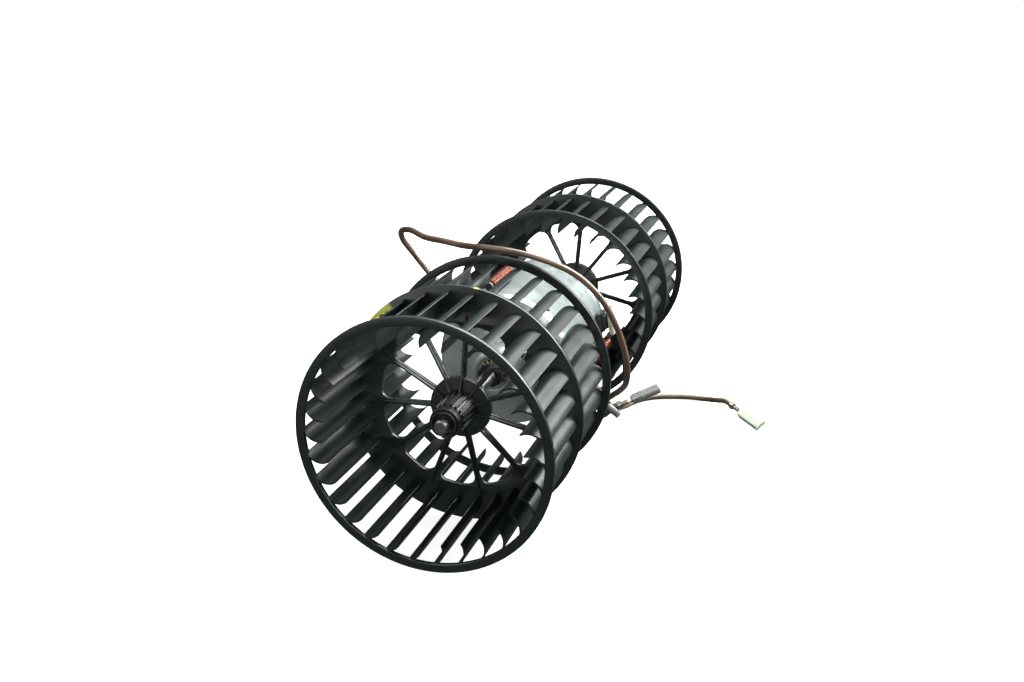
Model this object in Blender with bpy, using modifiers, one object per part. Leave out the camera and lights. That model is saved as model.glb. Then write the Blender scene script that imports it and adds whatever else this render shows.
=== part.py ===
"""Twin-wheel blower: an electric motor with a squirrel-cage wheel on each end of its shaft.

World frame: +Y along the shaft (the front wheel is at -Y), +Z up, origin on the shaft axis
at the middle of the blower's length.  Everything turned is drawn in a bench frame, with the
shaft standing along local +Z, and an empty lays it down so that local +Z becomes world +Y.
"""
import math

import bmesh
import bpy
from mathutils import Vector

MM = 0.001
CLEAR = 0.3 * MM            # gap between two pieces that touch
MERGE = 0.00001
QUARTER = math.pi / 2

# ---- driving dimensions ------------------------------------------------------------------
WHEEL_RADIUS = 70.0 * MM
WHEEL_LENGTH = 117.0 * MM
WHEEL_SPACING = 117.0 * MM  # gap between the two wheels
RIM_DEPTH = 4.9 * MM        # radial depth of an end ring
RIM_THICKNESS = 2.6 * MM
WEB_THICKNESS = 2.2 * MM
WEB_INSET = 1.0 * MM        # web edge inside the end rings
WEB_BAND = 22.0 * MM        # band of web and blades outside the windows
HUB_DISC_RADIUS = 16.5 * MM
SPOKE_COUNT = 11
SPOKE_WIDTH = 2.8 * MM
SPOKE_RIB_WIDTH = 1.3 * MM
SPOKE_RIB_HEIGHT = 2.2 * MM
HUB_FIN_HEIGHT = 5.0 * MM   # the ribs rise towards the hub sleeve
SPOKE_ANGLE = math.radians(20.0)
OPENING_CORNER = 5.5 * MM
BLADE_COUNT = 30            # in each half of a wheel
BLADE_ARC_RADIUS = 8.75 * MM
BLADE_ARC_INSET = 12.6 * MM # centre of the arc inside the wheel's radius
BLADE_ARC_OFFSET = -2.1 * MM
BLADE_ARC_START = math.radians(14.0)
BLADE_ARC_END = math.radians(113.0)
BLADE_ARC_STEPS = 3
BLADE_THICKNESS = 1.3 * MM
FRONT_OUTER_PHASE = math.radians(10.1)
FRONT_INNER_PHASE = math.radians(3.6)
REAR_INNER_PHASE = math.radians(8.3)
REAR_OUTER_PHASE = math.radians(3.4)
HUB_SLEEVE_RADIUS = 8.8 * MM
HUB_COLLAR_RADIUS = 7.4 * MM
HUB_COLLAR_LENGTH = 7.0 * MM
HUB_LENGTH = 27.0 * MM      # outboard, from the web's middle
HUB_INBOARD_LENGTH = 14.0 * MM
HUB_FLARE = 1.0 * MM
HUB_STEP = 1.6 * MM
CLIP_THICKNESS = 0.9 * MM
SHAFT_RADIUS = 4.0 * MM
SHAFT_END_GAP = 26.8 * MM   # shaft end inside the wheel's outer rim
CAN_RADIUS = 42.0 * MM
CAN_WALL = 2.0 * MM
CAN_FRONT = -48.0 * MM
CAN_REAR = 34.0 * MM
CAN_SHOULDER = 5.0 * MM
BOSS_RADIUS = 11.0 * MM
BOSS_LENGTH = 20.5 * MM
END_PLATE_THICKNESS = 2.2 * MM
MAGNET_THICKNESS = 5.5 * MM
MAGNET_SPAN = math.radians(118.0)
CORE_RADIUS = 33.0 * MM
CORE_FRONT = -31.0 * MM
CORE_REAR = 5.0 * MM
CORE_SLOTS = 12
COMMUTATOR_RADIUS = 12.0 * MM
BEARING_RADIUS = 7.6 * MM
BEARING_LENGTH = 9.0 * MM
BRUSH_SIZE = (11.0 * MM, 8.0 * MM, 5.0 * MM)   # radial, across, along the shaft
BRUSH_LIFT = 3.0 * MM
CHOKE_RADIUS = 3.7 * MM
CHOKE_CORE_RADIUS = 2.4 * MM
CHOKE_LENGTH = 34.0 * MM
SADDLE_THICKNESS = 0.8 * MM
TERMINAL_SIZE = (5.6 * MM, 13.0 * MM, 12.0 * MM)
GLAND_SIZE = (4.4 * MM, 8.0 * MM, 8.0 * MM)
SIDE_RECEPTACLE_SIZE = (18.0 * MM, 8.0 * MM, 3.6 * MM)
LEAD_RADIUS = 1.9 * MM
CRIMP_SIZE = (6.5 * MM, 3.0 * MM, 3.0 * MM)
SLEEVE_SIZE = (18.5 * MM, 8.6 * MM, 3.6 * MM)

HALF_LENGTH = WHEEL_LENGTH + WHEEL_SPACING / 2
WEB_RADIUS = WHEEL_RADIUS - WEB_INSET
WEB_OPENING_RADIUS = WHEEL_RADIUS - WEB_BAND
BLADE_ARC_CENTRE = WHEEL_RADIUS - BLADE_ARC_INSET
TURN_STEPS = 36
SHAFT_STEPS = 20
RIM_STEPS = 48

# ---- start clean -------------------------------------------------------------------------
for old in list(bpy.data.objects):
    bpy.data.objects.remove(old, do_unlink=True)

scene = bpy.context.scene
PARTS = bpy.data.collections.new("twin_wheel_blower")
CUTTERS = bpy.data.collections.new("cutters")
scene.collection.children.link(PARTS)
scene.collection.children.link(CUTTERS)

BENCH = bpy.data.objects.new("bench_frame", None)
BENCH.rotation_euler = (-QUARTER, 0.0, 0.0)
PARTS.objects.link(BENCH)


# ---- materials ---------------------------------------------------------------------------
def material(name, colour, roughness, metallic=0.0):
    made = bpy.data.materials.new(name)
    made.use_nodes = True
    shader = made.node_tree.nodes["Principled BSDF"]
    shader.inputs["Base Color"].default_value = (*colour, 1.0)
    shader.inputs["Roughness"].default_value = roughness
    shader.inputs["Metallic"].default_value = metallic
    return made


BLACK_PLASTIC = material("black_plastic", (0.018, 0.022, 0.021), 0.45)
ZINC_STEEL = material("zinc_steel", (0.62, 0.66, 0.66), 0.35, 1.0)
BRIGHT_STEEL = material("bright_steel", (0.5, 0.5, 0.5), 0.3, 1.0)
DARK_STEEL = material("dark_steel", (0.1, 0.1, 0.1), 0.4, 1.0)
COPPER = material("copper", (0.72, 0.2, 0.06), 0.3, 1.0)
BRASS = material("brass", (0.55, 0.45, 0.2), 0.35, 1.0)
FERRITE = material("ferrite", (0.05, 0.05, 0.055), 0.7)
CARBON = material("carbon", (0.03, 0.03, 0.03), 0.6)
FELT = material("felt", (0.5, 0.45, 0.35), 0.9)
BROWN_PVC = material("brown_pvc", (0.22, 0.11, 0.06), 0.4)
CLEAR_PVC = material("clear_pvc", (0.75, 0.82, 0.72), 0.2)
BEIGE_PLASTIC = material("beige_plastic", (0.55, 0.48, 0.36), 0.4)


# ---- helpers -----------------------------------------------------------------------------
def link(obj, surface, collection=PARTS, on_bench=True):
    collection.objects.link(obj)
    if on_bench:
        obj.parent = BENCH
    obj.data.materials.clear()
    obj.data.materials.append(surface)
    if collection is CUTTERS:
        obj.hide_render = True
        obj.display_type = "WIRE"
    return obj


def around(angle, radius, height=0.0):
    """Bench-frame point whose world angle, from +X towards +Z, is the one given."""
    return Vector((radius * math.cos(angle), -radius * math.sin(angle), height))


def turned(name, profile, surface, steps=TURN_STEPS, collection=PARTS, start=0.0):
    """Turn a closed outline of (radius, height) points about the shaft axis."""
    area = sum(r0 * h1 - r1 * h0
               for (r0, h0), (r1, h1) in zip(profile, profile[1:] + profile[:1]))
    if area > 0.0:
        profile = profile[::-1]
    mesh = bpy.data.meshes.new(name)
    count = len(profile)
    mesh.from_pydata([(r, 0.0, h) for r, h in profile],
                     [(i, (i + 1) % count) for i in range(count)], [])
    obj = link(bpy.data.objects.new(name, mesh), surface, collection)
    obj.rotation_euler = (0.0, 0.0, start)
    screw = obj.modifiers.new("turn", "SCREW")
    screw.axis = "Z"
    screw.angle = math.tau
    screw.steps = steps
    screw.render_steps = steps
    screw.use_merge_vertices = True
    screw.merge_threshold = MERGE
    screw.use_smooth_shade = True
    return obj


def tube(name, inner, outer, low, high, surface, steps=TURN_STEPS, collection=PARTS):
    return turned(name, [(outer, high), (outer, low), (inner, low), (inner, high)],
                  surface, steps, collection)


def hole_radius(radius, steps):
    """Corner radius of a many-sided hole that clears a turning pin."""
    return (radius + CLEAR) / math.cos(math.pi / steps)


def shaft_bore(steps=SHAFT_STEPS):
    return hole_radius(SHAFT_RADIUS, steps)


def as_mesh(curve_object):
    """Replace a curve object by its welded mesh."""
    name = curve_object.name
    depsgraph = bpy.context.evaluated_depsgraph_get()
    mesh = bpy.data.meshes.new_from_object(curve_object.evaluated_get(depsgraph))
    surface = curve_object.data.materials[0]
    collection = curve_object.users_collection[0]
    matrix = curve_object.matrix_local.copy()
    on_bench = curve_object.parent is BENCH
    bpy.data.objects.remove(curve_object, do_unlink=True)
    shape = bmesh.new()
    shape.from_mesh(mesh)
    bmesh.ops.remove_doubles(shape, verts=shape.verts, dist=MERGE)
    bmesh.ops.recalc_face_normals(shape, faces=shape.faces)
    shape.to_mesh(mesh)
    shape.free()
    obj = link(bpy.data.objects.new(name, mesh), surface, collection, on_bench)
    obj.matrix_local = matrix
    return obj


def plate(name, outlines, low, high, surface, collection=PARTS, on_bench=True):
    """A flat plate from closed outlines of (x, y) points, the holes among them."""
    curve = bpy.data.curves.new(name, "CURVE")
    curve.dimensions = "2D"
    curve.fill_mode = "BOTH"
    curve.extrude = (high - low) / 2
    for outline in outlines:
        spline = curve.splines.new("POLY")
        spline.points.add(len(outline) - 1)
        for point, place in zip(spline.points, outline):
            point.co = (place[0], place[1], 0.0, 1.0)
        spline.use_cyclic_u = True
    obj = link(bpy.data.objects.new(name, curve), surface, collection, on_bench)
    obj.location = (0.0, 0.0, (high + low) / 2)
    bpy.context.view_layer.update()
    return as_mesh(obj)


def block(name, size, centre, surface, angle=0.0, collection=PARTS):
    """A box whose first side points along the world angle given."""
    mesh = bpy.data.meshes.new(name)
    shape = bmesh.new()
    bmesh.ops.create_cube(shape, size=1.0)
    bmesh.ops.scale(shape, vec=size, verts=shape.verts)
    shape.to_mesh(mesh)
    shape.free()
    obj = link(bpy.data.objects.new(name, mesh), surface, collection)
    obj.location = centre
    obj.rotation_euler = (0.0, 0.0, -angle)
    return obj


def boolean(obj, other, operation="DIFFERENCE"):
    step = obj.modifiers.new(operation.lower(), "BOOLEAN")
    step.operation = operation
    step.object = other
    step.solver = "EXACT"


def ring_points(radius, steps, start=0.0):
    return [tuple(around(start + math.tau * i / steps, radius)[:2]) for i in range(steps)]


def round_tube(name, points, radius, surface, resolution=2, on_bench=False):
    """A wire or lead: a poly spline with a round section and filled ends."""
    curve = bpy.data.curves.new(name, "CURVE")
    curve.dimensions = "3D"
    curve.bevel_depth = radius
    curve.bevel_resolution = resolution
    curve.use_fill_caps = True
    spline = curve.splines.new("POLY")
    spline.points.add(len(points) - 1)
    for point, place in zip(spline.points, points):
        point.co = (*place, 1.0)
    return link(bpy.data.objects.new(name, curve), surface, PARTS, on_bench)


def smooth_path(route, spacing):
    """Points at an even spacing along a centripetal spline through the route."""
    ends = [route[0] + (route[0] - route[1]), *route, route[-1] + (route[-1] - route[-2])]
    dense = []
    for a, b, c, d in zip(ends, ends[1:], ends[2:], ends[3:]):
        knots = [0.0]
        for first, second in ((a, b), (b, c), (c, d)):
            knots.append(knots[-1] + math.sqrt((second - first).length))
        for step in range(24):
            t = knots[1] + (knots[2] - knots[1]) * step / 24
            ab = a.lerp(b, (t - knots[0]) / (knots[1] - knots[0]))
            bc = b.lerp(c, (t - knots[1]) / (knots[2] - knots[1]))
            cd = c.lerp(d, (t - knots[2]) / (knots[3] - knots[2]))
            abc = ab.lerp(bc, (t - knots[0]) / (knots[2] - knots[0]))
            bcd = bc.lerp(cd, (t - knots[1]) / (knots[3] - knots[1]))
            dense.append(abc.lerp(bcd, (t - knots[1]) / (knots[2] - knots[1])))
    dense.append(route[-1])
    length = sum((q - p).length for p, q in zip(dense, dense[1:]))
    count = max(2, round(length / spacing))
    points = [dense[0]]
    travelled = 0.0
    for p, q in zip(dense, dense[1:]):
        piece = (q - p).length
        while len(points) < count and travelled + piece >= length * len(points) / count:
            points.append(p.lerp(q, (length * len(points) / count - travelled) / piece))
        travelled += piece
    points.append(dense[-1])
    return points


# ---- the two wheels ----------------------------------------------------------------------
def opening_outline(side):
    """Outline of one window of the web, between two spokes, with rounded outer corners."""
    half_gap = SPOKE_WIDTH / 2
    pitch = math.tau / SPOKE_COUNT
    middle = SPOKE_ANGLE + pitch * (side + 0.5)
    inner = HUB_DISC_RADIUS
    outer = WEB_OPENING_RADIUS

    def edge(radius):
        return pitch / 2 - math.asin(half_gap / radius)

    corner_radius = outer - OPENING_CORNER
    corner_angle = pitch / 2 - math.asin((half_gap + OPENING_CORNER) / corner_radius)
    centre = Vector((corner_radius * math.cos(corner_angle),
                     corner_radius * math.sin(corner_angle)))
    first = corner_angle
    last = pitch / 2 + QUARTER
    corner = []
    for step in range(4):
        turn = first + (last - first) * step / 3
        corner.append(centre + OPENING_CORNER * Vector((math.cos(turn), math.sin(turn))))
    half = [Vector((outer, 0.0))] + corner
    half.append(Vector((inner * math.cos(edge(inner)), inner * math.sin(edge(inner)))))
    whole = half + [Vector((p.x, -p.y)) for p in reversed(half[1:])]
    outline = []
    for place in whole:
        radius = place.length
        outline.append(tuple(around(middle + math.atan2(place.y, place.x), radius)[:2]))
    return outline


def blade_rows(name, low, high, phase):
    """One half-wheel of curved blades: open arcs with a wall thickness."""
    shape = bmesh.new()
    for index in range(BLADE_COUNT):
        turn = phase + math.tau * index / BLADE_COUNT
        lower = []
        upper = []
        for step in range(BLADE_ARC_STEPS + 1):
            angle = BLADE_ARC_START + (BLADE_ARC_END - BLADE_ARC_START) * step / BLADE_ARC_STEPS
            x = BLADE_ARC_CENTRE + BLADE_ARC_RADIUS * math.cos(angle)
            z = BLADE_ARC_OFFSET + BLADE_ARC_RADIUS * math.sin(angle)
            place = around(turn + math.atan2(z, x), math.hypot(x, z))
            lower.append(shape.verts.new((place.x, place.y, low)))
            upper.append(shape.verts.new((place.x, place.y, high)))
        for step in range(BLADE_ARC_STEPS):
            shape.faces.new((lower[step], lower[step + 1], upper[step + 1], upper[step]))
    mesh = bpy.data.meshes.new(name)
    shape.to_mesh(mesh)
    shape.free()
    obj = link(bpy.data.objects.new(name, mesh), BLACK_PLASTIC, CUTTERS)
    wall = obj.modifiers.new("wall", "SOLIDIFY")
    wall.thickness = BLADE_THICKNESS
    wall.offset = 0.0
    return obj


def wheel(name, web, outward, outer_phase, inner_phase):
    """A moulded wheel: web and spokes, hub, two end rings and two rows of blades."""
    half = WEB_THICKNESS / 2
    outlines = [ring_points(WEB_RADIUS, RIM_STEPS)]
    outlines += [opening_outline(side) for side in range(SPOKE_COUNT)]
    outlines.append(ring_points((SHAFT_RADIUS + HUB_SLEEVE_RADIUS) / 2, SHAFT_STEPS))
    body = plate(name, outlines, web - half, web + half, BLACK_PLASTIC)

    hub_end = web + outward * HUB_LENGTH
    hub_back = web - outward * HUB_INBOARD_LENGTH
    collar = hub_end - outward * HUB_COLLAR_LENGTH
    face = web + outward * (half + HUB_STEP)
    bore = shaft_bore()
    flare = HUB_SLEEVE_RADIUS + HUB_FLARE
    disc = HUB_DISC_RADIUS + HUB_FLARE
    hub = turned(name + "_hub", [
        (bore, hub_end), (HUB_COLLAR_RADIUS, hub_end), (HUB_COLLAR_RADIUS, collar),
        (HUB_SLEEVE_RADIUS, collar), (flare, face), (disc, face),
        (disc, web - outward * half * 0.5), (flare, web - outward * half * 2.0),
        (HUB_SLEEVE_RADIUS, hub_back), (bore, hub_back)],
        BLACK_PLASTIC, SHAFT_STEPS, CUTTERS)
    boolean(body, hub, "UNION")

    rib_reach = HUB_DISC_RADIUS + HUB_FLARE / 2
    ribs = bmesh.new()
    for index in range(SPOKE_COUNT):
        turn = SPOKE_ANGLE + math.tau * index / SPOKE_COUNT
        start = HUB_SLEEVE_RADIUS + HUB_FLARE / 5
        length = WEB_OPENING_RADIUS + 4.0 * MM - start
        foot = web + outward * half * 0.5
        corners = ((start, foot), (start, web + outward * (half + HUB_FIN_HEIGHT)),
                   (rib_reach, web + outward * (half + SPOKE_RIB_HEIGHT)),
                   (start + length, web + outward * (half + SPOKE_RIB_HEIGHT * 0.45)),
                   (start + length, foot))
        sides = []
        for shift in (-SPOKE_RIB_WIDTH / 2, SPOKE_RIB_WIDTH / 2):
            along = around(turn, 1.0)
            across = Vector((-along.y, along.x, 0.0))
            sides.append([ribs.verts.new(along * r + across * shift + Vector((0, 0, h)))
                          for r, h in corners])
        count = len(corners)
        ribs.faces.new(sides[0])
        ribs.faces.new(sides[1][::-1])
        for i in range(count):
            j = (i + 1) % count
            ribs.faces.new((sides[0][j], sides[0][i], sides[1][i], sides[1][j]))
    bmesh.ops.recalc_face_normals(ribs, faces=ribs.faces)
    rib_mesh = bpy.data.meshes.new(name + "_ribs")
    ribs.to_mesh(rib_mesh)
    ribs.free()
    rib_object = link(bpy.data.objects.new(name + "_ribs", rib_mesh), BLACK_PLASTIC, CUTTERS)
    boolean(body, rib_object, "UNION")

    outer_rim = web + outward * WHEEL_LENGTH / 2
    inner_rim = web - outward * WHEEL_LENGTH / 2
    inset = 0.4 * MM
    for label, rim, side, phase in (("outer", outer_rim, outward, outer_phase),
                                    ("inner", inner_rim, -outward, inner_phase)):
        blades = blade_rows(name + "_blades_" + label, min(web, rim - side * inset),
                            max(web, rim - side * inset), phase)
        boolean(body, blades, "UNION")
        ring = tube(name + "_rim_" + label, WHEEL_RADIUS - RIM_DEPTH, WHEEL_RADIUS,
                    rim - side * RIM_THICKNESS, rim, BLACK_PLASTIC, RIM_STEPS, CUTTERS)
        boolean(body, ring, "UNION")
    return body


FRONT_WEB = -(HALF_LENGTH - WHEEL_LENGTH / 2)
REAR_WEB = -FRONT_WEB
wheel("front_wheel", FRONT_WEB, -1.0, FRONT_OUTER_PHASE, FRONT_INNER_PHASE)
wheel("rear_wheel", REAR_WEB, 1.0, REAR_OUTER_PHASE, REAR_INNER_PHASE)

for label, web, outward in (("front", FRONT_WEB, -1.0), ("rear", REAR_WEB, 1.0)):
    clip_out = web + outward * (HUB_LENGTH - 1.2 * MM)
    clip_in = web + outward * (HUB_LENGTH - HUB_COLLAR_LENGTH + 1.0 * MM)
    inner = HUB_COLLAR_RADIUS + CLEAR
    tube(label + "_hub_clip", inner, inner + CLIP_THICKNESS, min(clip_out, clip_in),
         max(clip_out, clip_in), DARK_STEEL, SHAFT_STEPS)

# ---- shaft and armature ------------------------------------------------------------------
shaft_end = HALF_LENGTH - SHAFT_END_GAP
turned("rotor_shaft", [
    (0.0, shaft_end), (SHAFT_RADIUS - 0.6 * MM, shaft_end), (SHAFT_RADIUS, shaft_end - 0.8 * MM),
    (SHAFT_RADIUS, -shaft_end + 0.8 * MM), (SHAFT_RADIUS - 0.6 * MM, -shaft_end),
    (0.0, -shaft_end)], BRIGHT_STEEL, SHAFT_STEPS)


def armature_outline():
    """Twelve T-shaped teeth around the core's back."""
    points = []
    pitch = math.tau / CORE_SLOTS
    mouth = 0.10
    for index in range(CORE_SLOTS):
        start = pitch * index
        for share, radius in ((-0.5 + mouth, CORE_RADIUS), (-0.25, CORE_RADIUS),
                              (0.0, CORE_RADIUS), (0.25, CORE_RADIUS),
                              (0.5 - mouth, CORE_RADIUS), (0.5 - mouth, CORE_RADIUS - 2.0 * MM),
                              (0.32, CORE_RADIUS - 4.0 * MM), (0.36, 17.0 * MM),
                              (0.64, 17.0 * MM), (0.68, CORE_RADIUS - 4.0 * MM),
                              (0.5 + mouth, CORE_RADIUS - 2.0 * MM)):
            points.append(tuple(around(start + share * pitch, radius)[:2]))
    return points


plate("armature_core", [armature_outline(), ring_points(shaft_bore(), SHAFT_STEPS)],
      CORE_FRONT, CORE_REAR, DARK_STEEL)


def end_winding(name, face, outward):
    """The copper end turns of the armature: a rounded ring with a hole for the shaft."""
    reach = 11.0 * MM
    near = face + outward * CLEAR
    far = near + outward * reach
    turned(name, [(9.0 * MM, near), (29.0 * MM, near), (30.5 * MM, near + outward * 3.0 * MM),
                  (28.5 * MM, far - outward * 2.0 * MM), (23.0 * MM, far),
                  (12.0 * MM, far - outward * 1.5 * MM), (9.0 * MM, far - outward * 4.0 * MM)],
           COPPER, 24)


end_winding("armature_winding_front", CORE_FRONT, -1.0)
end_winding("armature_winding_rear", CORE_REAR, 1.0)
COMMUTATOR_FRONT = CORE_REAR + 12.0 * MM
COMMUTATOR_REAR = COMMUTATOR_FRONT + 13.0 * MM
tube("commutator", shaft_bore(), COMMUTATOR_RADIUS, COMMUTATOR_FRONT, COMMUTATOR_REAR,
     COPPER, SHAFT_STEPS)

# ---- motor casing ------------------------------------------------------------------------
BOSS_FRONT = CAN_FRONT - BOSS_LENGTH
SEAT_RADIUS = BEARING_RADIUS + CLEAR
MOUTH_RADIUS = 8.6 * MM
can = turned("motor_can", [
    (CAN_RADIUS, CAN_REAR), (CAN_RADIUS, CAN_FRONT + CAN_SHOULDER),
    (CAN_RADIUS - CAN_SHOULDER * 0.3, CAN_FRONT + CAN_SHOULDER * 0.3),
    (CAN_RADIUS - CAN_SHOULDER, CAN_FRONT), (20.0 * MM, CAN_FRONT),
    (14.0 * MM, CAN_FRONT - 4.0 * MM), (BOSS_RADIUS, CAN_FRONT - 8.0 * MM),
    (BOSS_RADIUS, BOSS_FRONT + 1.0 * MM), (BOSS_RADIUS - 1.0 * MM, BOSS_FRONT),
    (MOUTH_RADIUS, BOSS_FRONT), (MOUTH_RADIUS, BOSS_FRONT + 2.4 * MM),
    (SEAT_RADIUS, BOSS_FRONT + 2.4 * MM), (SEAT_RADIUS, CAN_FRONT - 3.0 * MM),
    (12.0 * MM, CAN_FRONT + CAN_WALL - 2.0 * MM), (18.5 * MM, CAN_FRONT + CAN_WALL),
    (CAN_RADIUS - CAN_SHOULDER - 0.4 * MM, CAN_FRONT + CAN_WALL),
    (CAN_RADIUS - CAN_WALL, CAN_FRONT + CAN_SHOULDER), (CAN_RADIUS - CAN_WALL, CAN_REAR)],
    ZINC_STEEL)
for index in range(4):
    angle = math.radians(62.0) + QUARTER * index
    slot = block("rear_slot_%d" % index, (8.0 * MM, 15.0 * MM, 2.4 * MM),
                 around(angle, CAN_RADIUS, CAN_REAR - 7.0 * MM), ZINC_STEEL, angle, CUTTERS)
    boolean(can, slot)
    window = block("front_window_%d" % index, (8.0 * MM, 6.0 * MM, 3.4 * MM),
                   around(angle - 0.12, CAN_RADIUS, CAN_FRONT + 9.0 * MM), ZINC_STEEL,
                   angle - 0.12, CUTTERS)
    boolean(can, window)

PLATE_FRONT = CAN_REAR + CLEAR
PLATE_REAR = PLATE_FRONT + END_PLATE_THICKNESS
REAR_BOSS_END = PLATE_REAR + 17.0 * MM
SPIGOT = CAN_RADIUS - CAN_WALL - CLEAR
turned("end_plate", [
    (BOSS_RADIUS - 1.0 * MM, REAR_BOSS_END), (BOSS_RADIUS, REAR_BOSS_END - 1.0 * MM),
    (BOSS_RADIUS, PLATE_REAR + 6.0 * MM), (18.0 * MM, PLATE_REAR + 3.0 * MM),
    (CAN_RADIUS - 5.0 * MM, PLATE_REAR), (CAN_RADIUS, PLATE_REAR), (CAN_RADIUS, PLATE_FRONT),
    (SPIGOT, PLATE_FRONT), (SPIGOT, PLATE_FRONT - 2.5 * MM),
    (SPIGOT - 2.2 * MM, PLATE_FRONT - 2.5 * MM), (SPIGOT - 2.2 * MM, PLATE_FRONT),
    (SEAT_RADIUS + 4.0 * MM, PLATE_FRONT + 0.8 * MM), (SEAT_RADIUS, PLATE_FRONT + 2.6 * MM),
    (SEAT_RADIUS, REAR_BOSS_END - 2.4 * MM), (MOUTH_RADIUS, REAR_BOSS_END - 2.4 * MM),
    (MOUTH_RADIUS, REAR_BOSS_END)], ZINC_STEEL)

for side, sign in (("right", 0.0), ("left", math.pi)):
    outer = CAN_RADIUS - CAN_WALL - CLEAR
    inner = outer - MAGNET_THICKNESS
    steps = 10
    sweep = [sign - MAGNET_SPAN / 2 + MAGNET_SPAN * i / steps for i in range(steps + 1)]
    outline = [tuple(around(a, outer * math.cos(math.pi / TURN_STEPS))[:2]) for a in sweep]
    outline += [tuple(around(a, inner)[:2]) for a in reversed(sweep)]
    plate("magnet_" + side, [outline], CORE_FRONT - 3.0 * MM, CORE_REAR + 3.0 * MM, FERRITE)


def bearing_set(label, seat_inner, outward):
    """Bush, oil felt and star washer, in line in the boss, inside to outside."""
    bore = shaft_bore()
    felt_end = seat_inner + outward * 3.0 * MM
    bush_start = felt_end + outward * CLEAR
    bush_end = bush_start + outward * BEARING_LENGTH
    tube(label + "_oil_felt", bore, BEARING_RADIUS - 0.4 * MM, min(seat_inner, felt_end),
         max(seat_inner, felt_end), FELT, SHAFT_STEPS)
    low, high = sorted((bush_start, bush_end))
    middle = (low + high) / 2
    crown = 2.0 * MM
    shoulder = BEARING_RADIUS - 1.6 * MM
    turned(label + "_bearing_bush", [
        (bore, high), (shoulder, high), (BEARING_RADIUS, middle + crown),
        (BEARING_RADIUS, middle - crown), (shoulder, low), (bore, low)], BRASS, SHAFT_STEPS)


def star_washer(name, low, high):
    teeth = 16
    outline = []
    for index in range(teeth * 2):
        radius = MOUTH_RADIUS - CLEAR if index % 2 else MOUTH_RADIUS - 1.1 * MM
        outline.append(tuple(around(math.tau * index / (teeth * 2), radius)[:2]))
    plate(name, [outline, ring_points(shaft_bore() + 0.9 * MM, SHAFT_STEPS)], low, high, BRASS)


bearing_set("front", CAN_FRONT - 3.6 * MM, -1.0)
star_washer("front_star_washer", BOSS_FRONT + 0.9 * MM, BOSS_FRONT + 2.1 * MM)
bearing_set("rear", PLATE_FRONT + 3.4 * MM, 1.0)
star_washer("rear_star_washer", REAR_BOSS_END - 2.1 * MM, REAR_BOSS_END - 0.9 * MM)
for label, boss, web, outward in (("front", BOSS_FRONT, FRONT_WEB, -1.0),
                                  ("rear", REAR_BOSS_END, REAR_WEB, 1.0)):
    near = boss + outward * 1.2 * MM
    far = near + outward * 1.6 * MM
    tube(label + "_thrust_washer", shaft_bore(), 7.0 * MM, min(near, far), max(near, far),
         BLACK_PLASTIC, SHAFT_STEPS)

# ---- brush gear --------------------------------------------------------------------------
CARD_FRONT = COMMUTATOR_REAR - 0.5 * MM
CARD_REAR = CARD_FRONT + 1.6 * MM
plate("brush_card", [ring_points(SPIGOT - CLEAR, TURN_STEPS),
                     ring_points(COMMUTATOR_RADIUS + 1.5 * MM, SHAFT_STEPS)],
      CARD_FRONT, CARD_REAR, BLACK_PLASTIC)
BRUSH_REAR = CARD_FRONT - 1.4 * MM
BRUSH_MIDDLE = BRUSH_REAR - BRUSH_SIZE[2] / 2
BRUSH_START = COMMUTATOR_RADIUS + CLEAR
for side, angle in (("right", 0.0), ("left", math.pi)):
    length, across, along = BRUSH_SIZE
    block("brush_" + side, BRUSH_SIZE, around(angle, BRUSH_START + length / 2, BRUSH_MIDDLE),
          CARBON, angle)
    wall = 0.8 * MM
    holder_start = BRUSH_START + 2.0 * MM
    holder_end = BRUSH_START + length + BRUSH_LIFT + 6.0 * MM
    holder_middle = (holder_start + holder_end) / 2
    outer_size = (holder_end - holder_start, across + 2 * (wall + CLEAR),
                  along + 2 * (wall + CLEAR))
    holder = block("brush_box_" + side, outer_size, around(angle, holder_middle, BRUSH_MIDDLE),
                   BRASS, angle)
    hollow = block("brush_box_hollow_" + side, (outer_size[0] + 2 * MM, across + 2 * CLEAR,
                   along + 2 * CLEAR), around(angle, holder_middle, BRUSH_MIDDLE), BRASS, angle,
                   CUTTERS)
    boolean(holder, hollow)
    coil_start = BRUSH_START + length + CLEAR + 0.4 * MM
    coil_end = holder_end - 0.4 * MM
    turns = 5
    coil = []
    for step in range(turns * 8 + 1):
        spin = math.tau * step / 8
        reach = coil_start + (coil_end - coil_start) * step / (turns * 8)
        coil.append(around(angle, reach, BRUSH_MIDDLE)
                    + Vector((0.0, 1.7 * MM * math.cos(spin), 1.7 * MM * math.sin(spin))))
    round_tube("brush_spring_" + side, coil, 0.35 * MM, BRIGHT_STEEL, 0, True)
    block("brush_stop_" + side, (1.0 * MM, across, along + 2.0 * MM),
          around(angle, holder_end + CLEAR + 0.5 * MM, BRUSH_MIDDLE), BRASS, angle)

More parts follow.
